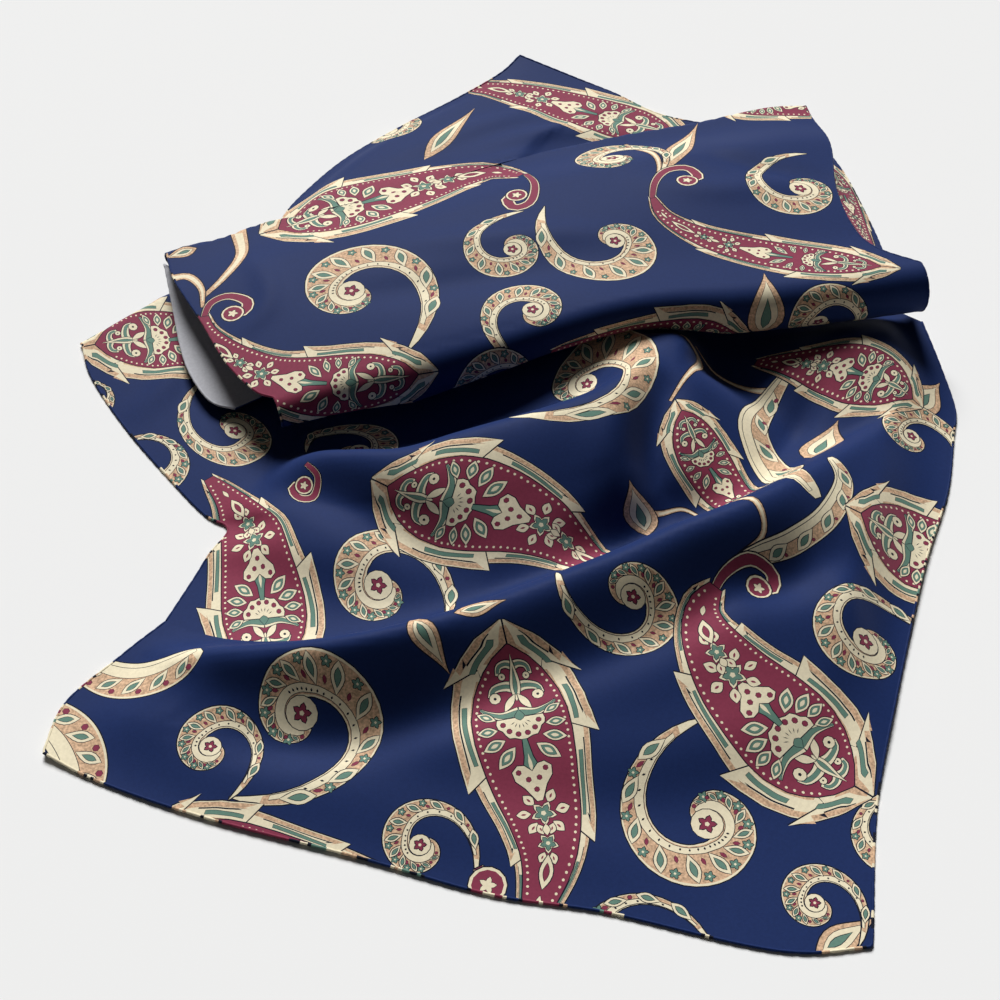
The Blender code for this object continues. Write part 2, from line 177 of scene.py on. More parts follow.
# Creases pressed into the cloth: half-width, then x, y and height along each; a negative one is a furrow.
CREASES = {
    "lower": [
        (9, [(58, 70, 0), (50, 45, 2.5), (45, 20, 4), (42, 0, 3.5), (44, -18, 0)]),
        (8, [(73, 66, 0), (65, 40, -5), (59, 20, -7), (58, 5, -7), (61, -8, -5), (66, -16, 0)]),
        (8, [(18, -37, 0), (38, -28, -5), (56, -20, -6), (72, -12, -4), (86, -7, 0)]),
        (11, [(-98, 6, 0), (-84, -1, -5), (-66, -8, -8), (-48, -19, -8), (-28, -31, -5), (-4, -42, 0)]),
        (12, [(82, 80, 0), (92, 62, -5), (104, 49, -5), (112, 35, -3), (116, 20, 0)]),
        (9, [(-126, -76, 0), (-106, -83, 3), (-86, -87, 5), (-58, -88, 6), (-34, -84, 4), (-8, -75, 0)]),
        (11, [(-116, -104, 0), (-84, -113, -4), (-52, -113, -6), (-24, -106, -6), (8, -95, -5),
              (40, -83, -5), (62, -72, -5), (84, -62, 0)]),
        (11, [(58, -68, 0), (78, -59, -5), (100, -53, -8), (118, -44, -5), (134, -32, 0)]),
        (8, [(112, -36, 0), (124, -66, 2.5), (128, -100, 2.5), (122, -138, 0)]),
        (14, [(-142, -112, 0), (-90, -127, 1.4), (-30, -142, 2.0), (30, -154, 1.5), (72, -166, 0)]),
        (13, [(-30, -118, 0), (30, -126, 1.8), (78, -116, 2.2), (112, -96, 0)]),
        (7, [(-120, -30, 0), (-96, -28, 2.0), (-70, -36, 1.6), (-44, -46, 0)]),
        (6, [(-150, 40, 0), (-136, 62, 1.6), (-130, 88, 1.6), (-124, 108, 0)]),
        (7, [(150, 20, 0), (158, 44, 2.2), (150, 70, 2.0), (132, 92, 0)]),
        (6, [(96, 8, 0), (112, 26, -2.0), (124, 46, -2.0), (128, 66, 0)]),
    ],
    "upper_fold": [
        (9, [(-84, 88, 0), (-50, 88, -1.2), (0, 96, -1.5), (44, 104, 0)]),
        (8, [(-66, 118, 0), (-20, 120, 1.2), (26, 122, 1.4), (64, 118, 0)]),
        (9, [(50, 164, 0), (84, 152, 1.8), (112, 154, 1.6), (142, 164, 0)]),
        (7, [(78, 196, 0), (98, 178, -1.4), (128, 166, -1.4), (148, 160, 0)]),
        (6, [(-112, 62, 0), (-96, 82, 1.2), (-98, 104, 1.2), (-110, 124, 0)]),
    ],
    "back_end": [
        (8, [(-60, 190, 0), (-30, 216, 1.6), (0, 236, 1.8), (34, 254, 0)]),
        (6, [(-24, 196, 0), (14, 222, 1.2), (48, 232, 1.4), (84, 236, 0)]),
    ],
}

# The hidden layers under the top fold: outline of their heap, and how many layers show at its side.
CORE_OUTLINE = [(-96, 135), (-80, 147), (-56, 165), (-30, 178), (-2, 184), (24, 182), (60, 188),
                (98, 196), (124, 196), (130, 170), (128, 134), (92, 122), (50, 116), (0, 106),
                (-42, 92), (-66, 88), (-76, 98), (-88, 118)]
CORE_LAYERS = 5
CORE_STEPS = 6              # rings for each layer
CORE_SIDES = 96
CORE_HALF = 90.0            # half the heap's width
CORE_GROOVE = 1.6           # depth of the groove between two layers
CORE_ROUND = 4.0            # how far its top edge is rounded in


def smooth(value):
    """Ease from 0 to 1."""
    value = np.clip(value, 0.0, 1.0)
    return value * value * (3.0 - 2.0 * value)


def curve_through(points, count):
    """Read count + 1 evenly spaced points from a smooth curve through the given ones."""
    knots = np.array(points, float)
    padded = np.vstack([2 * knots[0] - knots[1], knots, 2 * knots[-1] - knots[-2]])
    fine = []
    for a, b, c, d in zip(padded, padded[1:], padded[2:], padded[3:]):
        for t in np.linspace(0, 1, 12, endpoint=False):
            bend = 2 * a - 5 * b + 4 * c - d + (3 * (b - c) + d - a) * t
            fine.append(b + 0.5 * t * ((c - a) + t * bend))
    fine.append(knots[-1])
    fine = np.array(fine)
    steps = np.linalg.norm(np.diff(fine[:, :2], axis=0), axis=1)
    run = np.concatenate([[0], np.cumsum(steps)])
    even = np.linspace(0, run[-1], count + 1)
    return np.column_stack([np.interp(even, run, fine[:, k]) for k in range(knots.shape[1])])


def unit(vectors):
    """The vectors, each made 1 long."""
    return vectors / np.maximum(np.linalg.norm(vectors, axis=-1, keepdims=True), 1e-9)


def to_left(heading):
    """The flat directions turned a quarter to the left."""
    return np.column_stack([-heading[:, 1], heading[:, 0]])


def apart(points, reach):
    """Numbers of the points that lie further than reach from the one kept before them."""
    kept = [0]
    for index, point in enumerate(points):
        if math.dist(point, points[kept[-1]]) > reach:
            kept.append(index)
    return kept


def length_of(points):
    """Length of a line of points."""
    return float(np.linalg.norm(np.diff(np.array(points, float), axis=0), axis=1).sum())


def ridge_height(places, ridge):
    """Height of one fold over each place: round on the crest, straight down its sides."""
    crest = curve_through(ridge["crest"], 90)
    start, end = crest[:-1], crest[1:]
    along = end[:, :2] - start[:, :2]
    offset = places[:, None, :2] - start[None, :, :2]
    share = np.clip((offset * along).sum(2) / (along ** 2).sum(1), 0, 1)
    away = offset - share[..., None] * along
    distance = np.linalg.norm(away, axis=2)
    top = start[:, 2] + share * (end - start)[:, 2]
    direction = unit(along)
    side = away[..., 1] * direction[:, 0] - away[..., 0] * direction[:, 1]
    behind = smooth(0.5 + 0.5 * side / np.maximum(distance, 1e-6))
    slope = ridge["front_slope"] + (ridge["back_slope"] - ridge["front_slope"]) * behind
    radius = ridge["front_radius"] + (ridge["back_radius"] - ridge["front_radius"]) * behind
    return (top - slope * (np.sqrt(radius ** 2 + distance ** 2) - radius)).max(axis=1)


def raise_ridges(grid, ridges, fade):
    """Lift a grid of points over the folds, with round valleys between them."""
    places = grid.reshape(-1, 3)
    height = places[:, 2]
    for ridge in ridges.values():
        crest = ridge_height(places, ridge)
        gap = height - crest
        lift = 0.5 * (np.sqrt(gap ** 2 + VALLEY ** 2) - gap)
        height = height + lift * smooth(1.5 - gap / VALLEY_DEPTH)
    lifted = places.copy()
    lifted[:, 2] += (height - places[:, 2]) * fade.reshape(-1)
    return lifted.reshape(grid.shape)


def sheet_grid(edges, ridges, across=None, keep_back=False, settled=()):
    """Lay a grid between four edge lines: rows go from front to back, columns from left to right.

    With keep_back the folds die out towards the back edge, which keeps its own height, and they die
    out towards the sides named as settled, where the hem lies on the surface.
    """
    across = across or round(max(length_of(edges["front"]), length_of(edges["back"])) / CELL)
    along = round(max(length_of(edges["left"]), length_of(edges["right"])) / CELL)
    front, back = (curve_through(edges[side], across) for side in ("front", "back"))
    left, right = (curve_through(edges[side], along) for side in ("left", "right"))
    s = np.linspace(0, 1, across + 1)[None, :, None]
    t = np.linspace(0, 1, along + 1)[:, None, None]
    grid = (1 - t) * front[None] + t * back[None] + (1 - s) * left[:, None] + s * right[:, None]
    grid -= ((1 - s) * (1 - t) * front[0] + s * (1 - t) * front[-1]
             + (1 - s) * t * back[0] + s * t * back[-1])
    fade = smooth((1 - t) / FADE) if keep_back else np.ones_like(t)
    width, depth = length_of(edges["front"]), length_of(edges["left"])
    away = {"left": s * width, "right": (1 - s) * width, "front": t * depth}
    for side in settled:
        fade = fade * (HEM_LIFT + (1 - HEM_LIFT) * smooth(away[side] / HEM_FADE))
    return raise_ridges(grid, ridges, np.broadcast_to(fade, (along + 1, across + 1, 1)))


def curl_rows(grid, table, steps, tail):
    """Rows of points that carry on past the grid's last row and turn it down and under."""
    edge, inner = grid[-1], grid[-2]
    share = np.linspace(0, 1, len(edge))
    table = np.array(table, float)
    radius = np.interp(share, table[:, 0], table[:, 1])
    turn = np.radians(np.interp(share, table[:, 0], table[:, 2]))
    outward = unit(to_left(np.gradient(edge[:, :2], axis=0)))
    outward *= np.sign(((edge - inner)[:, :2] * outward).sum(1))[:, None]
    run = ((edge - inner)[:, :2] * outward).sum(1)
    first = np.arctan2(inner[:, 2] - edge[:, 2], np.maximum(run, 1e-6))
    point, rows = edge.copy(), []
    for step in range(steps):
        angle = first + turn * (step + 0.5) / steps
        reach = radius * turn / steps
        point = point + np.column_stack([outward * (reach * np.cos(angle))[:, None], -reach * np.sin(angle)])
        rows.append(point)
    under = smooth((np.degrees(turn) - 120) / 40) * tail
    end = first + turn
    point = point + np.column_stack([outward * (under * np.cos(end))[:, None], -under * np.sin(end)])
    return np.array(rows + [point])


def press(grid, name):
    """Press a sheet's creases into its grid of points."""
    places = grid.reshape(-1, 3).copy()
    for width, line in CREASES[name]:
        path = curve_through(line, 60)
        distance = np.linalg.norm(places[:, None, :2] - path[None, :, :2], axis=2)
        nearest = distance.argmin(axis=1)
        places[:, 2] += path[nearest, 2] * np.exp(-(distance.min(axis=1) / width) ** 2)
    places[:, 2] = np.maximum(places[:, 2], REST)
    return places.reshape(grid.shape)


def settle(grid, rounds):
    """Lower the points that stand above their neighbours, inside the edges."""
    for _ in range(rounds):
        grid = np.minimum(grid, soften(grid, 1))
    return grid


def tree_over(grid):
    """Ray-casting tree of a grid of points, in the tables' millimetres."""
    rows, columns = grid.shape[:2]
    faces = [(r * columns + c, r * columns + c + 1, (r + 1) * columns + c + 1, (r + 1) * columns + c)
             for r in range(rows - 1) for c in range(columns - 1)]
    return BVHTree.FromPolygons([tuple(p) for p in grid.reshape(-1, 3)], faces)


def keep_under(grid, above, clear, spread):
    """Lower a grid where it would come up into the sheets above it."""
    grid = grid.copy()
    around = [(0, 0)] + [(spread * math.cos(k * math.pi / 3), spread * math.sin(k * math.pi / 3))
                         for k in range(6)]
    for point in grid.reshape(-1, 3):
        for dx, dy in around:
            for tree in above:
                hit = tree.ray_cast(Vector((point[0] + dx, point[1] + dy, -10)), Vector((0, 0, 1)))[0]
                if hit is not None:
                    point[2] = max(REST, min(point[2], hit.z - clear))
    return grid


def soften(grid, rounds):
    """Even out the heights between neighbours, inside the edges."""
    grid = grid.copy()
    for _ in range(rounds):
        z = grid[..., 2]
        mean = (z[:-2, 1:-1] + z[2:, 1:-1] + z[1:-1, :-2] + z[1:-1, 2:]) / 4
        z[1:-1, 1:-1] = 0.5 * z[1:-1, 1:-1] + 0.5 * mean
    return grid


def unrolled(grid, base, first_row):
    """Flat cloth places of a grid: each column goes on from its base place by its true length."""
    flat = np.zeros(grid.shape[:2] + (2,))
    flat[first_row] = base
    for rows, step in ((range(first_row + 1, len(grid)), 1), (range(first_row - 1, -1, -1), -1)):
        heading = None
        for row in rows:
            move = grid[row] - grid[row - step]
            plan = np.linalg.norm(move[:, :2], axis=1)[:, None]
            fresh = move[:, :2] / np.maximum(plan, 1e-9)
            if heading is None:
                heading = fresh
            turned_back = (fresh * heading).sum(1)[:, None] < 0.2
            heading = np.where(turned_back | (plan < 0.05), heading, fresh)
            flat[row] = flat[row - step] + heading * np.linalg.norm(move, axis=1)[:, None]
    return flat


class Form:
    """A sheet's form: its points in space, their places on the flat cloth, and their normals."""

    def __init__(self, grid, flat, normal=None):
        self.grid, self.flat = grid, flat
        if normal is None:
            normal = np.cross(np.gradient(grid, axis=1), np.gradient(grid, axis=0))
            normal = np.where(np.linalg.norm(normal, axis=2, keepdims=True) > 1e-6, unit(normal), 0.0)
            for rows, step in ((range(1, len(grid)), 1), (range(len(grid) - 2, -1, -1), -1)):
                for row in rows:
                    blank = np.linalg.norm(normal[row], axis=1) < 0.5
                    normal[row, blank] = normal[row - step, blank]
        self.normal = normal
        rows, columns = grid.shape[:2]
        self.corners = [t for r in range(rows - 1) for c in range(columns - 1) for t in (
            (r * columns + c, r * columns + c + 1, (r + 1) * columns + c + 1),
            (r * columns + c, (r + 1) * columns + c + 1, (r + 1) * columns + c))]
        self.flat_points = flat.reshape(-1, 2)
        self.tree = BVHTree.FromPolygons([(x, y, 0.0) for x, y in self.flat_points], self.corners)

    def rows(self, first, last):
        """The part of the form between two of its rows."""
        return Form(self.grid[first:last + 1], self.flat[first:last + 1], self.normal[first:last + 1])

    def border(self):
        """Flat outline of the sheet, anticlockwise, without points that coincide."""
        flat = self.flat
        loop = np.concatenate([flat[0], flat[1:, -1], flat[-1, -2::-1], flat[-2:0:-1, 0]])
        kept = apart(loop, SAME_PLACE)
        if math.dist(loop[kept[0]], loop[kept[-1]]) < SAME_PLACE:
            kept.pop()
        return loop[kept]

    def lay(self, places):
        """Points and normals on the folded sheet of places on the flat cloth."""
        points, normals = [], []
        space, turned = self.grid.reshape(-1, 3), self.normal.reshape(-1, 3)
        for x, y in places:
            hit, _, index, _ = self.tree.find_nearest(Vector((x, y, 0.0)))
            a, b, c = self.corners[index]
            pa, pb, pc = self.flat_points[[a, b, c]]
            area = (pb[0] - pa[0]) * (pc[1] - pa[1]) - (pc[0] - pa[0]) * (pb[1] - pa[1])
            area = area if abs(area) > 1e-9 else 1e-9
            wb = ((x - pa[0]) * (pc[1] - pa[1]) - (pc[0] - pa[0]) * (y - pa[1])) / area
            wc = ((pb[0] - pa[0]) * (y - pa[1]) - (x - pa[0]) * (pb[1] - pa[1])) / area
            wb, wc = min(max(wb, 0.0), 1.0), min(max(wc, 0.0), 1.0)
            wa = max(1.0 - wb - wc, 0.0)
            points.append(space[a] * wa + space[b] * wb + space[c] * wc)
            normals.append(turned[a] * wa + turned[b] * wb + turned[c] * wc)
        return np.array(points), unit(np.array(normals))


def lower_cloth():
    """The spread front end and the middle fold behind it, one sheet over both ridges."""
    across = round(max(length_of(SHEETS[name][side]) for name in ("front_end", "middle_fold")
                       for side in ("front", "back")) / CELL)
    front = sheet_grid(SHEETS["front_end"], RIDGES, across, settled=("left", "front", "right"))
    middle = sheet_grid(SHEETS["middle_fold"], RIDGES, across, settled=("left", "right"))
    return np.concatenate([front, middle[1:]]), len(front) - 1


def make_forms():
    """Work out every sheet's form, from the top of the heap down."""
    top = soften(sheet_grid(SHEETS["upper_fold"], TOP_RIDGES, keep_back=True), 2)
    top = press(top, "upper_fold")
    roll = curl_rows(top[::-1], ROLL, 16, 6.0)[::-1]
    turned = curl_rows(top, TOP_BACK_FOLD, 9, 3.0)
    upper = np.concatenate([roll, top, turned])
    upper_flat = unrolled(upper, top[0, :, :2], len(roll))
    forms = {"upper_fold": Form(upper, upper_flat)}
    above = [tree_over(upper)]

    for name in ("turned_layer", "side_layer"):
        grid = keep_under(sheet_grid(SHEETS[name], {}), above, CLEAR, 2.0)
        forms[name] = Form(grid, unrolled(grid, grid[0, :, :2], 0))
        above.append(tree_over(grid))

    back = press(sheet_grid(SHEETS["back_end"], {}), "back_end")
    last = len(roll) + len(top) - 1
    shift = upper_flat[last] - upper[last, :, :2]
    order = np.argsort(upper[last, :, 0])
    base = back[0, :, :2] + np.column_stack([
        np.interp(back[0, :, 0], upper[last, order, 0], shift[order, k]) for k in range(2)])
    # The far end goes on from the top fold at their seam, and keeps its own height there.
    seam = back[0].copy()
    back = settle(keep_under(back, above, 1.0, 0.3), 8)
    joined = (back[0, :, 0] > JOINED[0]) & (back[0, :, 0] < JOINED[1])
    back[0, joined] = seam[joined]
    forms["back_end"] = Form(back, unrolled(back, base, 0))
    above.append(tree_over(back))

    lower, seam_row = lower_cloth()
    lower = soften(keep_under(press(lower, "lower"), above, CLEAR, 2.0), 3)
    floor_fold = curl_rows(lower, FLOOR_FOLD, 6, 0.0)
    lower = np.concatenate([lower, floor_fold])
    whole = Form(lower, unrolled(lower, lower[0, :, :2], 0))
    forms["front_end"] = whole.rows(0, seam_row)
    forms["middle_fold"] = whole.rows(seam_row, len(lower) - 1)
    return forms


# Shapes of the print, in millimetres of flat cloth.

def disc(centre, radius, count=9):
    """Round dot."""
    angles = np.linspace(0, 2 * math.pi, count, endpoint=False)
    return np.array(centre) + radius * np.column_stack([np.cos(angles), np.sin(angles)])


def flower(centre, radius, petals=5):
    """Small round-petalled flower."""
    angles = np.linspace(0, 2 * math.pi, petals * 4, endpoint=False)
    reach = radius * (0.78 + 0.26 * np.cos(petals * angles))
    return np.array(centre) + np.column_stack([reach * np.cos(angles), reach * np.sin(angles)])


def petal(start, end, width, blunt=0.0, count=7):
    """Pointed oval from start to end; a blunt one is widest towards its end."""
    start, end = np.array(start, float), np.array(end, float)
    run = end - start
    side = np.array([-run[1], run[0]]) / max(np.hypot(*run), 1e-6)
    shares = np.linspace(0, 1, count + 1)
    half = width / 2 * np.sin(math.pi * shares ** (1 + blunt))
    left = start + run * shares[:, None] + side * half[:, None]
    right = start + run * shares[:, None] - side * half[:, None]
    return np.concatenate([left, right[-2:0:-1]])


def within(start, end, near, far, width, blunt=0.0, count=7):
    """Petal on the line from start to end, between two shares of its length."""
    start, end = np.array(start, float), np.array(end, float)
    return petal(start + (end - start) * near, start + (end - start) * far, width, blunt, count)


def band(line, halves):
    """Strip about a line of points, with its half-width at each."""
    line = np.array(line, float)
    halves = np.broadcast_to(halves, len(line))
    side = to_left(unit(np.gradient(line, axis=0))) * halves[:, None]
    return np.concatenate([line + side, (line - side)[::-1]])


def grow(shape, reach):
    """The shape with its outline moved outwards."""
    after, before = np.roll(shape, -1, axis=0), np.roll(shape, 1, axis=0)
    turn = np.sign((shape[:, 0] * after[:, 1] - after[:, 0] * shape[:, 1]).sum())
    return shape - turn * reach * to_left(unit(after - before))


def draw(marks, colour, shape, line=0.0):
    """Add a shape to the marks, over the earlier ones, with a dark line round it if asked."""
    if line:
        marks.append(("line", grow(shape, line)))
    marks.append((colour, shape))


# Leaf motif: share of its length from the head, and share of its greatest half-width.
LEAF_EDGE = [(0.0, 0.02), (0.02, 0.2), (0.05, 0.46), (0.1, 0.7), (0.16, 0.88), (0.24, 0.99), (0.32, 1.0),
             (0.42, 0.93), (0.52, 0.82), (0.62, 0.69), (0.72, 0.54), (0.82, 0.39), (0.92, 0.25), (1.0, 0.1)]
# Slivers of its border: side, start and end.
LEAF_SLIVERS = [(1, 0.0, 0.16), (-1, 0.0, 0.18), (1, 0.12, 0.39), (-1, 0.13, 0.5), (1, 0.33, 0.7),
                (-1, 0.43, 0.79), (1, 0.64, 1.0), (-1, 0.73, 1.0)]
# Its side petals: share of length and of half-width at the start and at the end, and the width.
LEAF_PETALS = [(0.3, 0.36, 0.27, 0.62, 0.13), (0.335, 0.36, 0.335, 0.66, 0.15),
               (0.37, 0.28, 0.39, 0.62, 0.17), (0.395, 0.16, 0.45, 0.46, 0.19)]
FIELD = 0.72       # half-width of the leaf's field as a share of the leaf's
FIELD_START = 0.07
LINE = 0.45        # width of the dark lines round the motifs


def leaf_edge(share):
    """Half-width of a leaf as a share of its greatest."""
    table = np.array(LEAF_EDGE)
    return np.interp(np.asarray(share, float), table[:, 0], table[:, 1])


def field_edge(share):
    """Half-width of the leaf's inner field, which starts behind the leaf's own tip."""
    return FIELD * leaf_edge((np.asarray(share, float) - FIELD_START) / (1 - FIELD_START))


def leaf_border(marks, length, half):
    """Serrated border of overlapping slivers, each with a cream inlay and a green stroke."""
    def strip(side, start, end, inner, outer, barb):
        shares = np.linspace(start, end, 12)
        flare = 1 + barb * ((shares - start) / (end - start)) ** 3
        low = field_edge(shares) * 0.94
        high = np.maximum(leaf_edge(shares), low + 0.02) * flare
        near = np.column_stack([shares * length, side * half * (low + (high - low) * inner)])
        far = np.column_stack([shares * length, side * half * (low + (high - low) * outer)])
        near[-1, 0] -= 0.3 * barb * length
        return np.concatenate([far, near[::-1]])

    for side, start, end in reversed(LEAF_SLIVERS):
        reach = end - start
        draw(marks, "cream", strip(side, start, end, 0.0, 1.0, 0.16), LINE)
        draw(marks, "tan", strip(side, start + 0.02 * reach, end - 0.02, 0.72, 0.96, 0.13))
        draw(marks, "tan", strip(side, start + 0.1 * reach, end - 0.06, 0.0, 0.2, 0.0))
        draw(marks, "line", strip(side, start + 0.2 * reach, end - 0.05, 0.64, 0.71, 0.1))
        draw(marks, "green", strip(side, start + 0.3 * reach, end - 0.2 * reach, 0.36, 0.56, 0.0), 0.15)


def leaf_field(marks, length, half):
    """Burgundy field with a row of beads just inside its edge."""
    shares = np.linspace(FIELD_START, 0.985, 26)
    edge = np.column_stack([shares * length, field_edge(shares) * half])
    mirror = np.array([1, -1])
    draw(marks, "burgundy", np.concatenate([edge, (edge * mirror)[::-1]]), 0.4)
    beads = curve_through([(x, y - 1.5) for x, y in edge[2:-1]], int(length / 3.0))
    for x, y in beads:
        if y > 0.9:
            for side in (1, -1):
                draw(marks, "cream", disc((x, side * y), 0.5, 6))


def leaf_ornament(marks, length, half):
    """Growth along the leaf's middle: fleur, moustache, fan, petals, heart, two flowers and a bud."""
    def spot(share, off):
        return np.array([share * length, off * half])

    def mirrored(colour, shape, line=0.0):
        for side in (1, -1):
            draw(marks, colour, shape * np.array([1, side]), line)

    def lens(colour, start, end, width, line=0.0, blunt=0.0, count=7):
        """Petal on the leaf's middle, between two shares of its length."""
        draw(marks, colour, petal(spot(start, 0), spot(end, 0), width * half, blunt, count), line)

    def inlaid(start, end, width):
        """Cream petal with a green ring inside."""
        ring = within(start, end, 0.17, 0.83, 0.66 * width)
        eye = within(start, end, 0.32, 0.68, 0.34 * width, 0.0, 4)
        mirrored("cream", petal(start, end, width), 0.3)
        mirrored("green", ring, 0.15)
        mirrored("cream", eye)

    # Fleur: two pairs of hooks with round ends on a middle spike.
    for share, reach, width, ball in ((0.135, 0.24, 0.05, 0.05), (0.2, 0.38, 0.07, 0.085)):
        arm = curve_through([spot(share - 0.005, 0.0), spot(share - 0.012, 0.4 * reach),
                             spot(share - 0.004, 0.85 * reach), spot(share + 0.02, reach)], 10)
        mirrored("cream", band(arm, width * half * np.linspace(1.2, 0.6, 11)), 0.35)
        mirrored("green", band(arm[1:-1], 0.4 * width * half), 0.1)
        mirrored("cream", disc(spot(share + 0.024, reach - 0.06), ball * half, 9), 0.3)
        mirrored("line", disc(spot(share + 0.024, reach - 0.06), 0.3 * ball * half, 5))
    lens("cream", 0.095, 0.24, 0.15, 0.3, 0.6)
    lens("green", 0.13, 0.22, 0.06, 0.15, 0.6)
    mirrored("cream", petal(spot(0.215, 0.02), spot(0.275, 0.2), 0.11 * half), 0.3)
    # Moustache.
    for colour, width, line in (("cream", 0.17, 0.3), ("green", 0.09, 0.15)):
        arm = curve_through([spot(0.285, 0.0), spot(0.29, 0.25), spot(0.272, 0.45), spot(0.255, 0.56)], 10)
        mirrored(colour, band(arm, width * half / 2 * np.linspace(1.2, 0.2, 11)), line)
    # Fan with burgundy dots.
    angles = np.linspace(-0.5 * math.pi, 0.5 * math.pi, 17)
    bulge = 1 + 0.05 * np.cos(10 * angles)
    fan = spot(0.302, 0.0) + 0.36 * half * np.column_stack([bulge * np.cos(angles), bulge * np.sin(angles)])
    draw(marks, "cream", fan, 0.35)
    for angle in (-1.25, -0.75, -0.25, 0.25, 0.75, 1.25):
        place = spot(0.302, 0.0) + 0.28 * half * np.array([math.cos(angle), math.sin(angle)])
        draw(marks, "burgundy", disc(place, 0.04 * half, 7), 0.15)
        way = half * np.array([math.cos(angle * 0.8), math.sin(angle * 0.8)])
        draw(marks, "line", within(spot(0.304, 0.0), spot(0.304, 0.0) + way, 0.1, 0.18, 0.35, 0.0, 2))
    lens("green", 0.27, 0.312, 0.14, 0.2, 0.6)
    for start, start_off, end, end_off, width in LEAF_PETALS:
        inlaid(spot(start, start_off), spot(end, end_off), width * half)
    # Green wedge and heart with burgundy dots.
    wedge = np.array([spot(*place) for place in ((0.375, -0.03), (0.375, 0.03), (0.43, 0.06), (0.475, 0.13),
                                                 (0.482, 0.0), (0.475, -0.13), (0.43, -0.06))])
    draw(marks, "green", wedge, 0.35)
    lens("cream", 0.42, 0.475, 0.06, 0.0, 0.5, 4)
    heart = [spot(0.475, 0.0), spot(0.455, 0.1), spot(0.452, 0.2), spot(0.468, 0.29), spot(0.495, 0.27),
             spot(0.52, 0.16), spot(0.565, 0.04)]
    heart = np.concatenate([heart, (np.array(heart[1:]) * np.array([1, -1]))[::-1]])
    draw(marks, "cream", heart, 0.35)
    for share, off in ((0.472, 0.2), (0.472, -0.2), (0.497, 0.08), (0.497, -0.08), (0.53, 0.0)):
        draw(marks, "burgundy", disc(spot(share, off), 0.04 * half, 6), 0.12)
    # Flowers with petals round them, a bud between them and a lens behind.
    for middle, size, turns in ((0.605, 0.135, (35, 85, 140)), (0.7, 0.11, (20, 160))):
        for turn in turns:
            way = size * half * np.array([-math.cos(math.radians(turn)), math.sin(math.radians(turn))])
            near, far = spot(middle, 0) + 1.35 * way, spot(middle, 0) + 2.9 * way
            mirrored("cream", petal(near, far, 1.05 * size * half), 0.28)
            mirrored("burgundy", within(near, far, 0.3, 0.7, 0.25 * size * half, 0.0, 3))
        for colour, reach, line in (("cream", 1.35, 0.3), ("green", 1.0, 0.25)):
            draw(marks, colour, flower(spot(middle, 0), reach * size * half), line)
        draw(marks, "cream", disc(spot(middle, 0), 0.3 * size * half, 5))
    lens("cream", 0.64, 0.675, 0.1, 0.25)
    lens("cream", 0.735, 0.84, 0.19, 0.35)
    lens("burgundy", 0.76, 0.815, 0.08, 0.2)
    lens("cream", 0.86, 0.9, 0.07, 0.2)


def leaf_shapes(length, half):
    """One leaf lying along X from its head at 0."""
    marks = []
    leaf_border(marks, length, half)
    leaf_field(marks, length, half)
    leaf_ornament(marks, length, half)
    return marks


def leaf(half, spine):
    """A leaf bent along a spine that runs from its head to its tail."""
    line = curve_through(spine, 60)
    length = length_of(spine)
    heading = unit(np.gradient(line, axis=0))
    shares = np.linspace(0, 1, 61)

    def bent(shape):
        at = shape[:, 0] / length
        x, y = (np.interp(at, shares, line[:, k]) for k in range(2))
        along_x, along_y = (np.interp(at, shares, heading[:, k]) for k in range(2))
        over = np.clip(at - 1, 0, None) * length + np.clip(at, None, 0) * length
        return np.column_stack([x + over * along_x - shape[:, 1] * along_y,
                                y + over * along_y + shape[:, 1] * along_x])

    return [(colour, bent(shape)) for colour, shape in leaf_shapes(length, half)]


# Scroll motif: turn from its tail in degrees, then its outer and its inner edge, each as a share of the
# head's radius and a share of what the tail reaches beyond it.
SCROLL_EDGES = [(0, 1.0, 1.0, 1.0, 1.0), (10, 1.02, 0.93, 1.0, 0.83), (25, 1.01, 0.84, 1.0, 0.66),
                (45, 1.0, 0.75, 1.0, 0.48), (70, 1.0, 0.67, 1.0, 0.32), (90, 1.0, 0.61, 0.98, 0.2),
                (110, 1.0, 0.56, 0.92, 0.1), (135, 1.0, 0.5, 0.76, 0.02), (160, 1.0, 0.42, 0.54, 0.0),
                (190, 1.0, 0.3, 0.38, 0.0), (225, 1.0, 0.16, 0.35, 0.0), (265, 1.0, 0.06, 0.35, 0.0),
                (310, 0.98, 0.0, 0.35, 0.0), (350, 0.84, 0.0, 0.34, 0.0), (390, 0.62, 0.0, 0.32, 0.0),
                (425, 0.4, 0.0, 0.3, 0.0)]


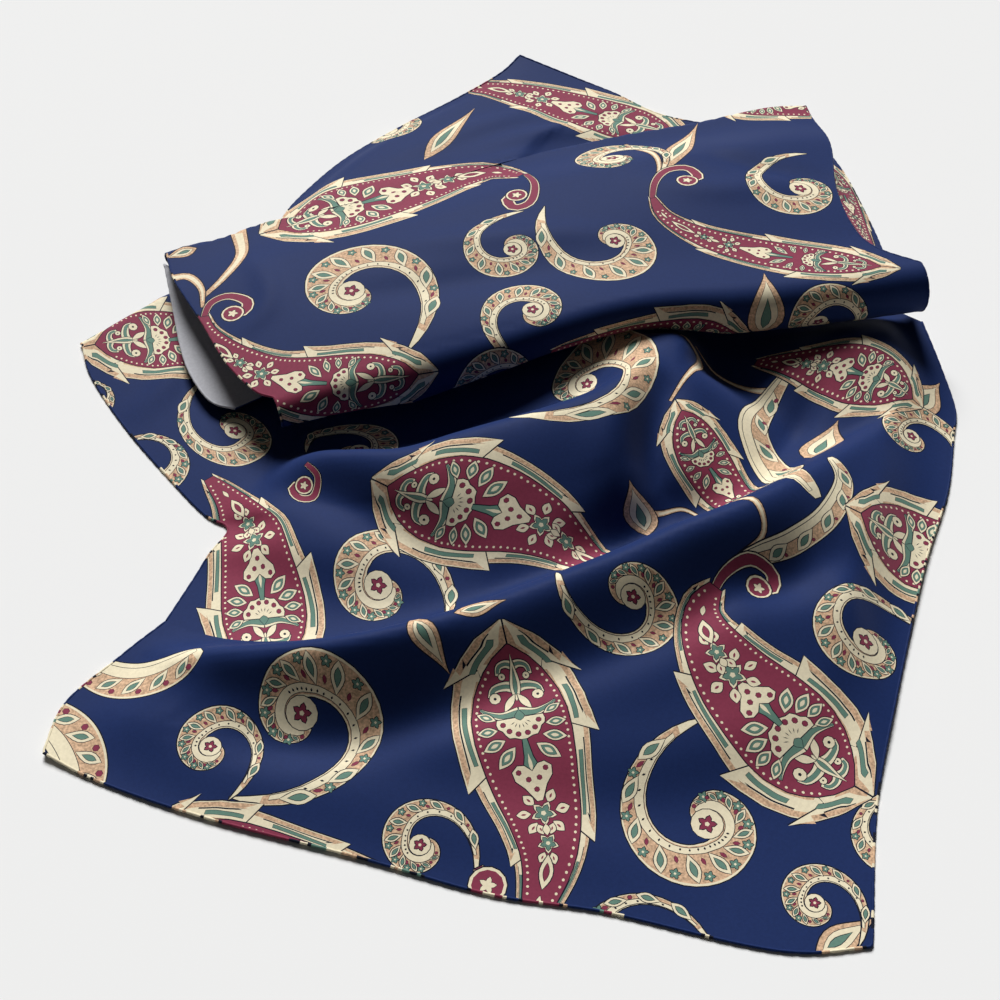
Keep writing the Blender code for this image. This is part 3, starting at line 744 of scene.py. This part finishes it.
def scroll(eye, tail, head, side):
    """A comma-shaped scroll that winds from its tail round to the eye of its head."""
    marks = []
    eye, tail = np.array(eye, float), np.array(tail, float)
    reach = math.dist(eye, tail) - head
    first = math.atan2(tail[1] - eye[1], tail[0] - eye[0])
    table = np.array(SCROLL_EDGES)

    def edges(turn):
        """Inner and outer radius at a turn from the tail."""
        outer, outer_reach, inner, inner_reach = (np.interp(turn, table[:, 0], table[:, k])
                                                  for k in (1, 2, 3, 4))
        return head * inner + reach * inner_reach, head * outer + reach * outer_reach

    def place(turn, across):
        """Point at a turn, from 0 on the inner edge to 1 on the outer one."""
        turn = np.asarray(turn, float)
        low, high = edges(turn)
        radius = low + (high - low) * across
        angle = first + side * np.radians(turn)
        return np.column_stack([eye[0] + radius * np.cos(angle), eye[1] + radius * np.sin(angle)])

    def rib(turn):
        """Share of the width that the cream rib along the inner edge takes."""
        low, high = edges(turn)
        return np.minimum(0.27 * head / np.maximum(high - low, 0.01), 0.5)

    def strip(turns, low, high):
        return np.concatenate([place(turns, high), place(turns, low)[::-1]])

    draw(marks, "cream", strip(np.linspace(0, 425, 46), 0.0, 1.0), LINE)
    draw(marks, "tan", strip(np.linspace(16, 418, 44), 0.04, 0.95))
    turns = np.linspace(20, 400, 40)
    draw(marks, "cream", strip(turns, 0.09, rib(turns)), 0.25)
    for turn in np.arange(40, 250, 12 if head > 13 else 17):
        near, far = place([turn, turn + 3], np.array([0.4, 0.75]) * rib(turn))
        draw(marks, "line", petal(near, far, 0.8, 0.0, 2))
    for turn in np.arange(34, 400, 31):
        base, tip = place([turn - 8, turn + 14], np.array([rib(turn) + 0.02, 0.93]))
        wide = min(0.42 * math.dist(base, tip), 0.42 * head)
        if math.dist(base, tip) > 2.5:
            draw(marks, "cream", petal(base, tip, wide, 0.15, 6), 0.3)
            draw(marks, "green", within(base, tip, 0.22, 0.8, 0.48 * wide, 0.2, 5), 0.22)
        low, high = edges(turn + 21)
        if high - low > 5.5:
            middle = place([turn + 23], 0.8)[0]
            draw(marks, "green", flower(middle, 0.13 * head), 0.28)
            draw(marks, "cream", disc(middle, 0.035 * head, 4))
            near = place([turn + 12], rib(turn + 12) + 0.1)[0]
            far = place([turn + 19], rib(turn + 19) + 0.28)[0]
            draw(marks, "burgundy", petal(near, far, 0.09 * head, 0.0, 3), 0.15)
        elif high - low > 3:
            draw(marks, "burgundy", disc(place([turn + 20], 0.72)[0], 0.05 * head, 6), 0.15)
    draw(marks, "cream", disc(eye, 0.37 * head, 14), 0.3)
    draw(marks, "burgundy", flower(eye, 0.21 * head), 0.35)
    draw(marks, "cream", disc(eye, 0.06 * head, 5))
    return marks


def bud(start, end, width):
    """A closed bud with a green middle."""
    marks = []
    draw(marks, "tan", petal(start, end, width, 0.5, 10), LINE)
    draw(marks, "cream", within(start, end, 0.15, 0.88, 0.62 * width, 0.5, 8), 0.2)
    draw(marks, "green", within(start, end, 0.4, 0.8, 0.26 * width, 0.4, 5), 0.25)
    return marks


def stem(width, points):
    """A bare stem that thins towards its end."""
    marks = []
    line = curve_through(points, 16)
    draw(marks, "tan", band(line, np.linspace(width / 2, width / 8, 17)), LINE)
    draw(marks, "cream", band(line[1:-2], np.linspace(width / 4, width / 16, 14)))
    return marks


def vine(width, points):
    """A leafy stem: a band that swells in its middle, with a row of green-cored petals and dots."""
    marks = []
    line = curve_through(points, 32)
    share = np.linspace(0, 1, 33)
    halves = width / 2 * (0.2 + 0.8 * np.sin(math.pi * share) ** 0.6)
    side = to_left(unit(np.gradient(line, axis=0))) * halves[:, None]
    draw(marks, "cream", band(line, halves), LINE)
    draw(marks, "tan", band((line + 0.3 * side)[2:-2], 0.6 * halves[2:-2]))
    draw(marks, "cream", band((line - 0.45 * side)[1:-1], 0.28 * halves[1:-1]), 0.25)
    for k in range(3, 27, 5):
        base, tip = line[k] - 0.1 * side[k], line[k + 4] + 0.75 * side[k + 4]
        wide = 0.42 * math.dist(base, tip)
        draw(marks, "cream", petal(base, tip, wide, 0.15, 6), 0.28)
        draw(marks, "green", within(base, tip, 0.25, 0.8, 0.48 * wide, 0.2, 5), 0.2)
        draw(marks, "burgundy", disc(line[k + 1] + 0.66 * side[k + 1], 0.07 * width, 6), 0.15)
    return marks


def curl(width, points):
    """A burgundy tendril that ends in a round knob."""
    marks = []
    line = curve_through(points, 18)
    draw(marks, "cream", band(line, np.linspace(0.4, 1.0, 19) * width / 2), LINE)
    draw(marks, "burgundy", band(line, np.linspace(0.35, 0.7, 19) * width / 2), 0.1)
    draw(marks, "cream", disc(line[-1], 0.78 * width, 14), LINE)
    draw(marks, "burgundy", disc(line[-1], 0.66 * width, 12))
    draw(marks, "cream", flower(line[-1], 0.36 * width), 0.2)
    return marks


# Places of the motifs on the flat cloth, sheet by sheet. A leaf has half its width, then its spine from its
# head to its tail.
LEAVES = [
    ("front_end", 23, [(3, -74), (5, -90), (7, -108), (11, -128), (15, -146), (15, -162), (8, -186)]),
    ("front_end", 26, [(124, -134), (108, -122), (94, -108), (81, -93), (73, -78), (72, -66), (78, -56)]),
    ("middle_fold", 23, [(-40, 5), (-24, -2), (-3, -6), (18, -13), (38, -24), (56, -38)]),
    ("middle_fold", 25, [(-74, -88), (-80, -62), (-86, -40), (-93, -20), (-102, -2), (-114, 12)]),
    ("front_end", 25, [(128, -20), (145, -25), (165, -30), (190, -36), (215, -40)]),
    ("upper_fold", 19, [(-24, 46), (-47, 42), (-70, 40), (-90, 44), (-107, 56), (-118, 70), (-121, 82)]),
    ("upper_fold+back_end", 27, [(-104, 138), (-79, 152), (-60, 160), (-40, 169), (-20, 180), (-3, 184),
                                 (10, 174)]),
    ("upper_fold", 13, [(164, 97), (144, 101), (124, 105), (104, 111), (84, 120), (70, 132), (65, 146)]),
    ("back_end", 22, [(90, 232), (67, 241), (43, 251), (20, 262), (-5, 272), (-25, 280)]),
    ("upper_fold", 20, [(106, 60), (85, 58), (62, 56), (40, 54), (22, 52)]),
    ("middle_fold", 13, [(73, 50), (80, 32), (87, 18), (94, 4), (98, -16), (99, -30)]),
    ("middle_fold", 17, [(170, 46), (153, 58), (137, 69), (121, 78), (108, 85)]),
    ("middle_fold", 25, [(-177, 84), (-150, 90), (-122, 95), (-94, 97), (-66, 97)]),
    ("upper_fold", 18, [(96, 246), (122, 244), (150, 240), (180, 236)]),
    ("front_end", 20, [(-122, -147), (-96, -156), (-70, -162), (-42, -167), (-20, -172)]),
    ("side_layer", 9, [(152, 200), (153, 178), (156, 152), (160, 122)]),
]

# A scroll has the place of its eye and of its tail, the radius of its head and the way it winds.
SCROLLS = [
    ("front_end", (-67, -104), (-90, -135), 15, 1),
    ("front_end", (-98, -116), (-90, -136), 10, 1),
    ("middle_fold", (-36, -38), (-13, -60), 15, 1),
    ("front_end", (48, -64), (23, -52), 11, 1),
    ("front_end", (68, -145), (70, -108), 14.5, 1),
    ("front_end", (-26, -153), (-8, -164), 9.5, 1),
    ("front_end", (100, -173), (112, -188), 8.5, 1),
    ("front_end", (42, -191), (66, -188), 15, 1),
    ("front_end", (131, -151), (144, -134), 10, 1),
    ("front_end", (129, -75), (156, -70), 13, 1),
    ("upper_fold", (-61, 91), (-37, 54), 15, 1),
    ("upper_fold", (5, 112), (10, 139), 10, 1),
    ("upper_fold", (48, 116), (19, 142), 11, 1),
    ("upper_fold", (50, 184), (70, 164), 14, 1),
    ("upper_fold", (130, 154), (137, 184), 13, 1),
    ("upper_fold", (13, 73), (17, 46), 11, -1),
    ("upper_fold", (-2, 38), (4, 14), 12, 1),
    ("middle_fold", (33, 76), (8, 32), 14, 1),
    ("upper_fold", (132, 70), (146, 48), 11, 1),
    ("front_end+middle_fold", (163, 30), (176, 8), 9, 1),
    ("middle_fold", (-102, 42), (-118, 70), 13, 1),
    ("middle_fold", (-139, 15), (-160, 22), 14, -1),
    ("middle_fold", (-169, 52), (-180, 60), 11, -1),
    ("back_end", (-54, 238), (-76, 240), 13, -1),
    ("middle_fold", (-53, 47), (-72, 36), 9, -1),
]

# A bud has its tip, its base and its width.
BUDS = [
    ("upper_fold", (108, 95), (109, 60), 15),
    ("middle_fold", (137, 45), (124, 24), 16),
    ("middle_fold", (55, 11), (61, -8), 13),
    ("middle_fold", (180, 62), (166, 43), 14),
    ("back_end", (-12, 252), (-35, 200), 10),
    ("front_end", (5, -67), (-12, -71), 7),
    ("front_end", (-16, -92), (-26, -71), 9),
    ("upper_fold", (-143, 121), (-130, 128), 7),
    ("upper_fold", (92, 225), (73, 167), 11),
    ("front_end", (119, -178), (98, -191), 10),
]

# A stem, a vine or a curl has its width, then its line.
STEMS = [
    ("upper_fold", 7, [(-114, 142), (-110, 122), (-115, 105), (-122, 93)]),
    ("upper_fold", 5, [(-139, 106), (-131, 107), (-124, 98), (-122, 86)]),
    ("upper_fold", 4, [(56, 205), (66, 190), (70, 172), (67, 152)]),
    ("middle_fold", 4, [(78, 92), (85, 80), (80, 66), (71, 50)]),
    ("front_end", 3, [(88, -20), (95, -27), (96, -37), (86, -46)]),
    ("middle_fold", 2, [(64, 2), (74, 5), (81, 0), (82, -8)]),
    ("middle_fold", 5, [(-13, -58), (-18, -62), (-26, -64)]),
    ("middle_fold", 3, [(118, 66), (104, 72), (92, 82), (84, 92)]),
]
VINES = [
    ("front_end", 16, [(-103, -80), (-112, -85), (-123, -88), (-134, -87), (-145, -82), (-154, -76)]),
    ("front_end", 18, [(-168, -98), (-158, -101), (-150, -107), (-144, -115), (-140, -125), (-138, -140)]),
    ("front_end+middle_fold", 13, [(121, 74), (112, 63), (104, 46), (106, 32), (112, 12), (110, -3),
                                   (118, -18)]),
    ("front_end", 9, [(126, 6), (129, -8), (121, -25), (108, -36), (95, -43), (86, -47)]),
]
CURLS = [
    ("front_end", 6, [(74, -64), (80, -53), (90, -46), (98, -48), (98, -54), (93, -55)]),
    ("upper_fold", 6, [(-121, 78), (-119, 88), (-112, 92), (-104, 88), (-104, 82), (-109, 81)]),
    ("upper_fold", 6, [(11, 176), (15, 160), (13, 146), (6, 142), (3, 149), (7, 152)]),
    ("upper_fold", 6, [(65, 142), (67, 155), (73, 166), (82, 168), (86, 160), (81, 156)]),
    ("middle_fold", 5, [(-68, 14), (-63, 8), (-65, 0), (-71, -1), (-74, 4), (-69, 5)]),
    ("front_end", 8, [(-7, -161), (-6, -163), (-5, -165), (-4, -167)]),
]


def marks_on(name):
    """The print's shapes on one sheet, in the order in which they are drawn."""
    marks = []
    for rows, motif in ((STEMS, stem), (VINES, vine), (BUDS, bud), (SCROLLS, scroll), (CURLS, curl),
                        (LEAVES, leaf)):
        for where, *place in rows:
            if name in where.split("+"):
                marks += motif(*place)
    return marks


def inside(points, outline):
    """Which points lie inside a closed outline."""
    x, y = points[:, 0], points[:, 1]
    result = np.zeros(len(points), bool)
    for (ax, ay), (bx, by) in zip(outline, np.roll(outline, -1, axis=0)):
        crosses = (ay > y) != (by > y)
        if ay != by:
            result ^= crosses & (x < (bx - ax) * (y - ay) / (by - ay) + ax)
    return result


def in_box(points, shape):
    """Which points lie in the box round a shape."""
    return (points >= shape.min(axis=0)).all(axis=1) & (points <= shape.max(axis=0)).all(axis=1)


def mesh_of(outline, marks, step):
    """Cut a flat outline into triangles along the marks: points, triangles and each triangle's colour."""
    low, high = outline.min(axis=0), outline.max(axis=0)
    shapes = [("ground", outline)]
    shapes += [(colour, shape) for colour, shape in marks
               if (shape.max(axis=0) > low).all() and (shape.min(axis=0) < high).all()
               and inside(shape, outline).any()]
    points, edges = [], []
    for _, shape in shapes:
        first, count = len(points), len(shape)
        points += [Vector(p) for p in shape]
        edges += [(first + k, first + (k + 1) % count) for k in range(count)]
    across, along = (np.arange(low[k] + step / 2, high[k], step) for k in range(2))
    grid = np.array([(x + (row % 2) * step / 2, y) for row, y in enumerate(along) for x in across])
    points += [Vector(p) for p in grid[inside(grid, outline)]]
    places, _, triangles, _, _, _ = geometry.delaunay_2d_cdt(points, edges, [], 0, CUT_REACH, False)
    places, triangles = np.array([tuple(p) for p in places]), np.array(triangles)
    middles = places[triangles].mean(axis=1)
    paint = np.full(len(triangles), -1)
    for number, (colour, shape) in enumerate(shapes):
        near = np.flatnonzero(in_box(middles, shape) & ((paint >= 0) | (number == 0)))
        paint[near[inside(middles[near], shape)]] = number
    kept = paint >= 0
    used, triangles = np.unique(triangles[kept], return_inverse=True)
    triangles = triangles.reshape(-1, 3).tolist()
    return places[used], triangles, [shapes[number][0] for number in paint[kept]]


PAINTS = ("ground", "line", "cream", "tan", "burgundy", "green", "wrong_side")


def to_scene(points):
    """Points in the tables' millimetres as points in the row's frame, in metres."""
    return (np.asarray(points, float) - np.array([ORIGIN[0], ORIGIN[1], SINK])) * MM


def add_mesh(name, points, faces, paints, normals, materials):
    """Make a mesh object with its own normals and one material for each paint."""
    mesh = bpy.data.meshes.new(name)
    mesh.from_pydata([tuple(p) for p in points], [], faces)
    for paint in PAINTS:
        mesh.materials.append(materials[paint])
    mesh.polygons.foreach_set("material_index", [PAINTS.index(paint) for paint in paints])
    mesh.polygons.foreach_set("use_smooth", [True] * len(mesh.polygons))
    if normals is not None:
        mesh.normals_split_custom_set_from_vertices([tuple(n) for n in normals])
    obj = bpy.data.objects.new(name, mesh)
    bpy.context.scene.collection.objects.link(obj)
    return obj


def edge_loop(triangles):
    """Edges that only one triangle has, each as a pair of points in that triangle's order."""
    seen = dict.fromkeys(pair for triangle in triangles
                         for pair in zip(triangle, triangle[1:] + triangle[:1]))
    return [(a, b) for a, b in seen if (b, a) not in seen]


def tube_faces(first, rings, count):
    """Faces between neighbouring rings of points, with the same count in each."""
    return [(first + ring * count + k, first + ring * count + (k + 1) % count,
             first + (ring + 1) * count + (k + 1) % count, first + (ring + 1) * count + k)
            for ring in range(rings - 1) for k in range(count)]


def cloth(name, form, marks, materials, top="ground", under="wrong_side"):
    """A thin shell of cloth on a form, printed on its top."""
    outline = form.border()
    flat, triangles, paints = mesh_of(outline, marks, PRINT_CELL)
    upper, up = form.lay(flat)
    lower_flat, lower_triangles, _ = mesh_of(outline, [], PRINT_CELL)
    lower, lower_up = form.lay(lower_flat)
    if top != "ground":
        paints = [top] * len(paints)

    # The rim joins both faces with its own points, so that its shading stays its own.
    rim = edge_loop(triangles)
    rim_points = sorted({a for pair in rim for a in pair})
    rim_index = {a: k for k, a in enumerate(rim_points)}
    points = np.concatenate([upper, lower - CLOTH * lower_up, upper[rim_points],
                             upper[rim_points] - CLOTH * up[rim_points]])
    first_under = len(upper)
    first_rim = first_under + len(lower)
    first_foot = first_rim + len(rim_points)
    faces = triangles + [[first_under + v for v in reversed(t)] for t in lower_triangles]
    faces += [[first_rim + rim_index[b], first_rim + rim_index[a], first_foot + rim_index[a],
               first_foot + rim_index[b]] for a, b in rim]
    paints = paints + [under] * len(lower_triangles) + ["ground"] * len(rim)
    outward = upper[rim_points] - upper.mean(axis=0)
    outward[:, 2] = 0
    outward = unit(outward)
    normals = np.concatenate([up, -lower_up, outward, outward])
    return add_mesh(name, to_scene(points), faces, paints, normals, materials)


def paints_at(places, marks):
    """The print's colour at each place on the flat cloth."""
    paints = ["ground"] * len(places)
    for colour, shape in marks:
        near = np.flatnonzero(in_box(places, shape))
        for place in near[inside(places[near], shape)]:
            paints[place] = colour
    return paints


# Cut edges that show on each sheet, in the order in which its hem follows them.
HEMS = {
    "front_end": [("left", "front", "right")],
    "middle_fold": [("left",), ("right",)],
    "upper_fold": [("left",), ("right",)],
    "back_end": [("left", "back", "right")],
    "turned_layer": [("left",)],
    "side_layer": [("right",)],
}


def edge_run(form, sides):
    """Points, flat places and normals along a sheet's cut edge, with the flat way inwards."""
    layers = []
    for values in (form.grid, form.flat, form.normal):
        runs = {"front": values[0], "back": values[-1], "left": values[:, 0], "right": values[:, -1]}
        if sides == ("left", "front", "right"):
            runs["left"] = runs["left"][::-1]
        if sides == ("left", "back", "right"):
            runs["right"] = runs["right"][::-1]
        layers.append(np.concatenate([runs[side] for side in sides]))
    points, flat, normals = layers
    middle = form.flat.reshape(-1, 2).mean(axis=0)
    kept = apart(points, HEM_GAP)
    points, flat, normals = points[kept], flat[kept], normals[kept]
    run = np.concatenate([[0], np.cumsum(np.linalg.norm(np.diff(points, axis=0), axis=1))])
    even = np.linspace(0, run[-1], round(run[-1] / HEM_STEP) + 1)
    points, flat, normals = (
        np.column_stack([np.interp(even, run, values[:, k]) for k in range(values.shape[1])])
        for values in (points, flat, normals))
    return points, flat + HEM_INSIDE * unit(middle - flat), normals


def hem(name, form, marks, materials, plain=None):
    """Rolled hem along a sheet's cut edges: a thin round cord of cloth with a dimple at each stitch."""
    points, faces, paints = [], [], []
    for sides in HEMS[name]:
        line, flat, normals = edge_run(form, sides)
        centre = line - CLOTH / 2 * normals
        centre[:, 2] = np.maximum(centre[:, 2], SINK + HEM + 0.03)
        heading = unit(np.gradient(centre, axis=0))
        up = unit(normals - (normals * heading).sum(axis=1)[:, None] * heading)
        side = np.cross(heading, up)
        colours = [plain] * len(line) if plain else paints_at(flat, marks)
        first = len(points)
        for ring in range(len(centre)):
            radius = HEM * (STITCH_PINCH if ring % STITCH_RINGS == 0 else 1.0)
            for corner in range(HEM_SIDES):
                angle = 2 * math.pi / HEM_SIDES * corner
                way = math.cos(angle) * side[ring] + math.sin(angle) * up[ring]
                points.append(centre[ring] + radius * way)
        faces += tube_faces(first, len(centre), HEM_SIDES)
        paints += [colour for colour in colours[:-1] for _ in range(HEM_SIDES)]
        last = len(points) - HEM_SIDES
        faces += [tuple(reversed(range(first, first + HEM_SIDES))), tuple(range(last, len(points)))]
        paints += [colours[0], colours[-1]]
    return add_mesh(name + "_hem", to_scene(points), faces, paints, None, materials)


# The silk's threads: their noise scale, and the strength and depth in metres of their relief.
THREAD_SCALE = 2600.0
THREAD_RELIEF = 0.25
THREAD_DEPTH = 0.0001


def set_inputs(node, **values):
    """Set a node's inputs by name, with an underscore for each space, and return the node."""
    for label, value in values.items():
        node.inputs[label.replace("_", " ")].default_value = value
    return node


def fabric(name, colour, sheen, speckle=0.06, speckle_size=900.0):
    """Woven silk: fine threads as relief, a faint mottle of its colour, and a soft sheen."""
    material = bpy.data.materials.new(name)
    material.use_nodes = True
    nodes, links = material.node_tree.nodes, material.node_tree.links
    place = nodes.new("ShaderNodeTexCoord")
    mottle = set_inputs(nodes.new("ShaderNodeTexNoise"), Scale=speckle_size, Detail=2.0)
    shift = set_inputs(nodes.new("ShaderNodeMapRange"), From_Min=0.3, From_Max=0.7,
                       To_Min=1.0 - speckle, To_Max=1.0 + speckle)
    grey = nodes.new("ShaderNodeCombineColor")
    tint = nodes.new("ShaderNodeMix")
    tint.data_type = "RGBA"
    tint.blend_type = "MULTIPLY"
    set_inputs(tint, Factor=1.0, A=(*colour, 1.0))
    threads = set_inputs(nodes.new("ShaderNodeTexNoise"), Scale=THREAD_SCALE, Detail=1.0)
    relief = set_inputs(nodes.new("ShaderNodeBump"), Strength=THREAD_RELIEF, Distance=THREAD_DEPTH)
    shader = set_inputs(nodes["Principled BSDF"], Roughness=0.6, Sheen_Weight=sheen, Sheen_Roughness=0.4,
                        Specular_IOR_Level=0.05)
    for source, result, target, socket in [
            (place, "Object", mottle, "Vector"), (place, "Object", threads, "Vector"),
            (mottle, "Fac", shift, "Value"), (shift, "Result", grey, "Red"),
            (shift, "Result", grey, "Green"), (shift, "Result", grey, "Blue"),
            (grey, "Color", tint, "B"), (tint, "Result", shader, "Base Color"),
            (threads, "Fac", relief, "Height"), (relief, "Normal", shader, "Normal")]:
        links.new(source.outputs[result], target.inputs[socket])
    return material


def make_materials():
    """The silk's colours."""
    return {
        "ground": fabric("navy silk", (0.011, 0.026, 0.105), sheen=0.06),
        "line": fabric("dark outline", (0.008, 0.010, 0.022), sheen=0.1),
        "cream": fabric("cream print", (0.83, 0.74, 0.53), sheen=0.1),
        "tan": fabric("tan print", (0.62, 0.41, 0.26), sheen=0.1, speckle=0.35, speckle_size=1100.0),
        "burgundy": fabric("burgundy print", (0.24, 0.038, 0.075), sheen=0.2),
        "green": fabric("green print", (0.13, 0.24, 0.19), sheen=0.1),
        "wrong_side": fabric("wrong side", (0.46, 0.46, 0.49), sheen=0.2),
    }


def core(above, materials):
    """The hidden layers under the top fold: a low heap whose side shows the edges of the layers."""
    outline = curve_through(CORE_OUTLINE + CORE_OUTLINE[:1], CORE_SIDES)[:-1]
    middle = outline.mean(axis=0)

    def height(place):
        """Room under the cloth above a place."""
        lowest = CORE_ROOM
        for k in range(9):
            reach = 5.0 if k else 0.0
            start = Vector((place[0] + reach * math.cos(k * math.pi / 4),
                            place[1] + reach * math.sin(k * math.pi / 4), -10.0))
            for tree in above:
                hit = tree.ray_cast(start, Vector((0, 0, 1)))[0]
                if hit is not None:
                    lowest = min(lowest, hit.z)
        return lowest - CORE_CLEAR

    tops = [height(place) for place in outline]
    rings = []
    levels = CORE_LAYERS * CORE_STEPS
    for level in range(levels + 1):
        share = level / levels
        groove = abs(math.cos(math.pi * level / CORE_STEPS)) ** 3
        pull = (CORE_GROOVE * groove + CORE_ROUND * share ** 3) / CORE_HALF
        ring = middle + (outline - middle) * (1 - pull)
        rings.append([(x, y, SINK + 0.02 + (top * 0.9 - SINK) * share) for (x, y), top in zip(ring, tops)])
    for share in (0.9, 0.75, 0.55, 0.35, 0.15):
        ring = middle + (outline - middle) * share
        rings.append([(x, y, height((x, y))) for x, y in ring])
    points = [p for ring in rings for p in ring]
    points.append((middle[0], middle[1], height(middle)))
    faces = [tuple(reversed(range(CORE_SIDES)))]
    faces += tube_faces(0, len(rings), CORE_SIDES)
    last = (len(rings) - 1) * CORE_SIDES
    faces += [(last + side, last + (side + 1) % CORE_SIDES, len(points) - 1) for side in range(CORE_SIDES)]
    if np.cross(outline, np.roll(outline, -1, axis=0)).sum() < 0:
        faces = [tuple(reversed(face)) for face in faces]
    return add_mesh("hidden_layers_silk", to_scene(points), faces, ["ground"] * len(faces), None, materials)


# The broad distant key light, and the weak light from all round.
KEY_PLACE = (-0.15, 0.9, 0.78)
KEY_ANGLE = 24.0            # degrees across
KEY_POWER = 4.6
AMBIENT = 0.04
FLOOR_HALF = 8.0            # half the floor's side, in metres
CAMERA = (0.0, -439.3, 487.9)   # its place, in the tables' millimetres
CAMERA_LENS = 61.2
CAMERA_TILT = 42.0          # degrees from straight down


def add_studio():
    """Pale floor, soft light from above and behind, and the camera at the photo's angle."""
    scene = bpy.context.scene
    floor_mesh = bpy.data.meshes.new("floor")
    corners = [(x * FLOOR_HALF, y * FLOOR_HALF, 0) for x, y in ((-1, -1), (1, -1), (1, 1), (-1, 1))]
    floor_mesh.from_pydata(corners, [], [(0, 1, 2, 3)])
    floor = bpy.data.objects.new("floor", floor_mesh)
    scene.collection.objects.link(floor)
    white = bpy.data.materials.new("floor")
    white.use_nodes = True
    set_inputs(white.node_tree.nodes["Principled BSDF"], Base_Color=(0.86, 0.86, 0.855, 1.0), Roughness=0.8,
               Specular_IOR_Level=0.1)
    floor_mesh.materials.append(white)

    light = bpy.data.lights.new("key", "SUN")
    light.angle = math.radians(KEY_ANGLE)
    light.energy = KEY_POWER
    lamp = bpy.data.objects.new("key", light)
    lamp.location = KEY_PLACE
    lamp.rotation_euler = (-Vector(KEY_PLACE)).to_track_quat("-Z", "Y").to_euler()
    scene.collection.objects.link(lamp)

    world = bpy.data.worlds.new("studio")
    scene.world = world
    world.use_nodes = True
    set_inputs(world.node_tree.nodes["Background"], Color=(1.0, 1.0, 1.0, 1.0), Strength=AMBIENT)
    scene.view_settings.view_transform = "Standard"

    lens = bpy.data.cameras.new("camera")
    lens.lens = CAMERA_LENS
    lens.sensor_width = 36.0
    camera = bpy.data.objects.new("camera", lens)
    camera.location = ((CAMERA[0] - ORIGIN[0]) * MM, (CAMERA[1] - ORIGIN[1]) * MM, CAMERA[2] * MM)
    camera.rotation_euler = (math.radians(CAMERA_TILT), 0.0, 0.0)
    scene.collection.objects.link(camera)
    scene.camera = camera


def main():
    """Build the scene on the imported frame."""
    for obj in list(bpy.data.objects):
        bpy.data.objects.remove(obj)
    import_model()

    materials = make_materials()
    forms = make_forms()
    above = [tree_over(forms[name].grid) for name in ("upper_fold", "turned_layer", "back_end")]
    pieces = {}
    for name, form in forms.items():
        turned = name == "turned_layer"
        marks = marks_on(name)
        top, under = ("wrong_side", "ground") if turned else ("ground", "wrong_side")
        piece = cloth(name + "_silk", form, marks, materials, top, under)
        edge = hem(name, form, marks, materials, "wrong_side" if turned else None)
        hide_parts(name)
        border = form.border()
        pieces[name], pieces[name + "_hem"] = piece, edge
    pieces["hidden_layers"] = core(above, materials)
    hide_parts("hidden_layers")
    for name, piece in pieces.items():
        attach(piece, "root")

    add_studio()


main()
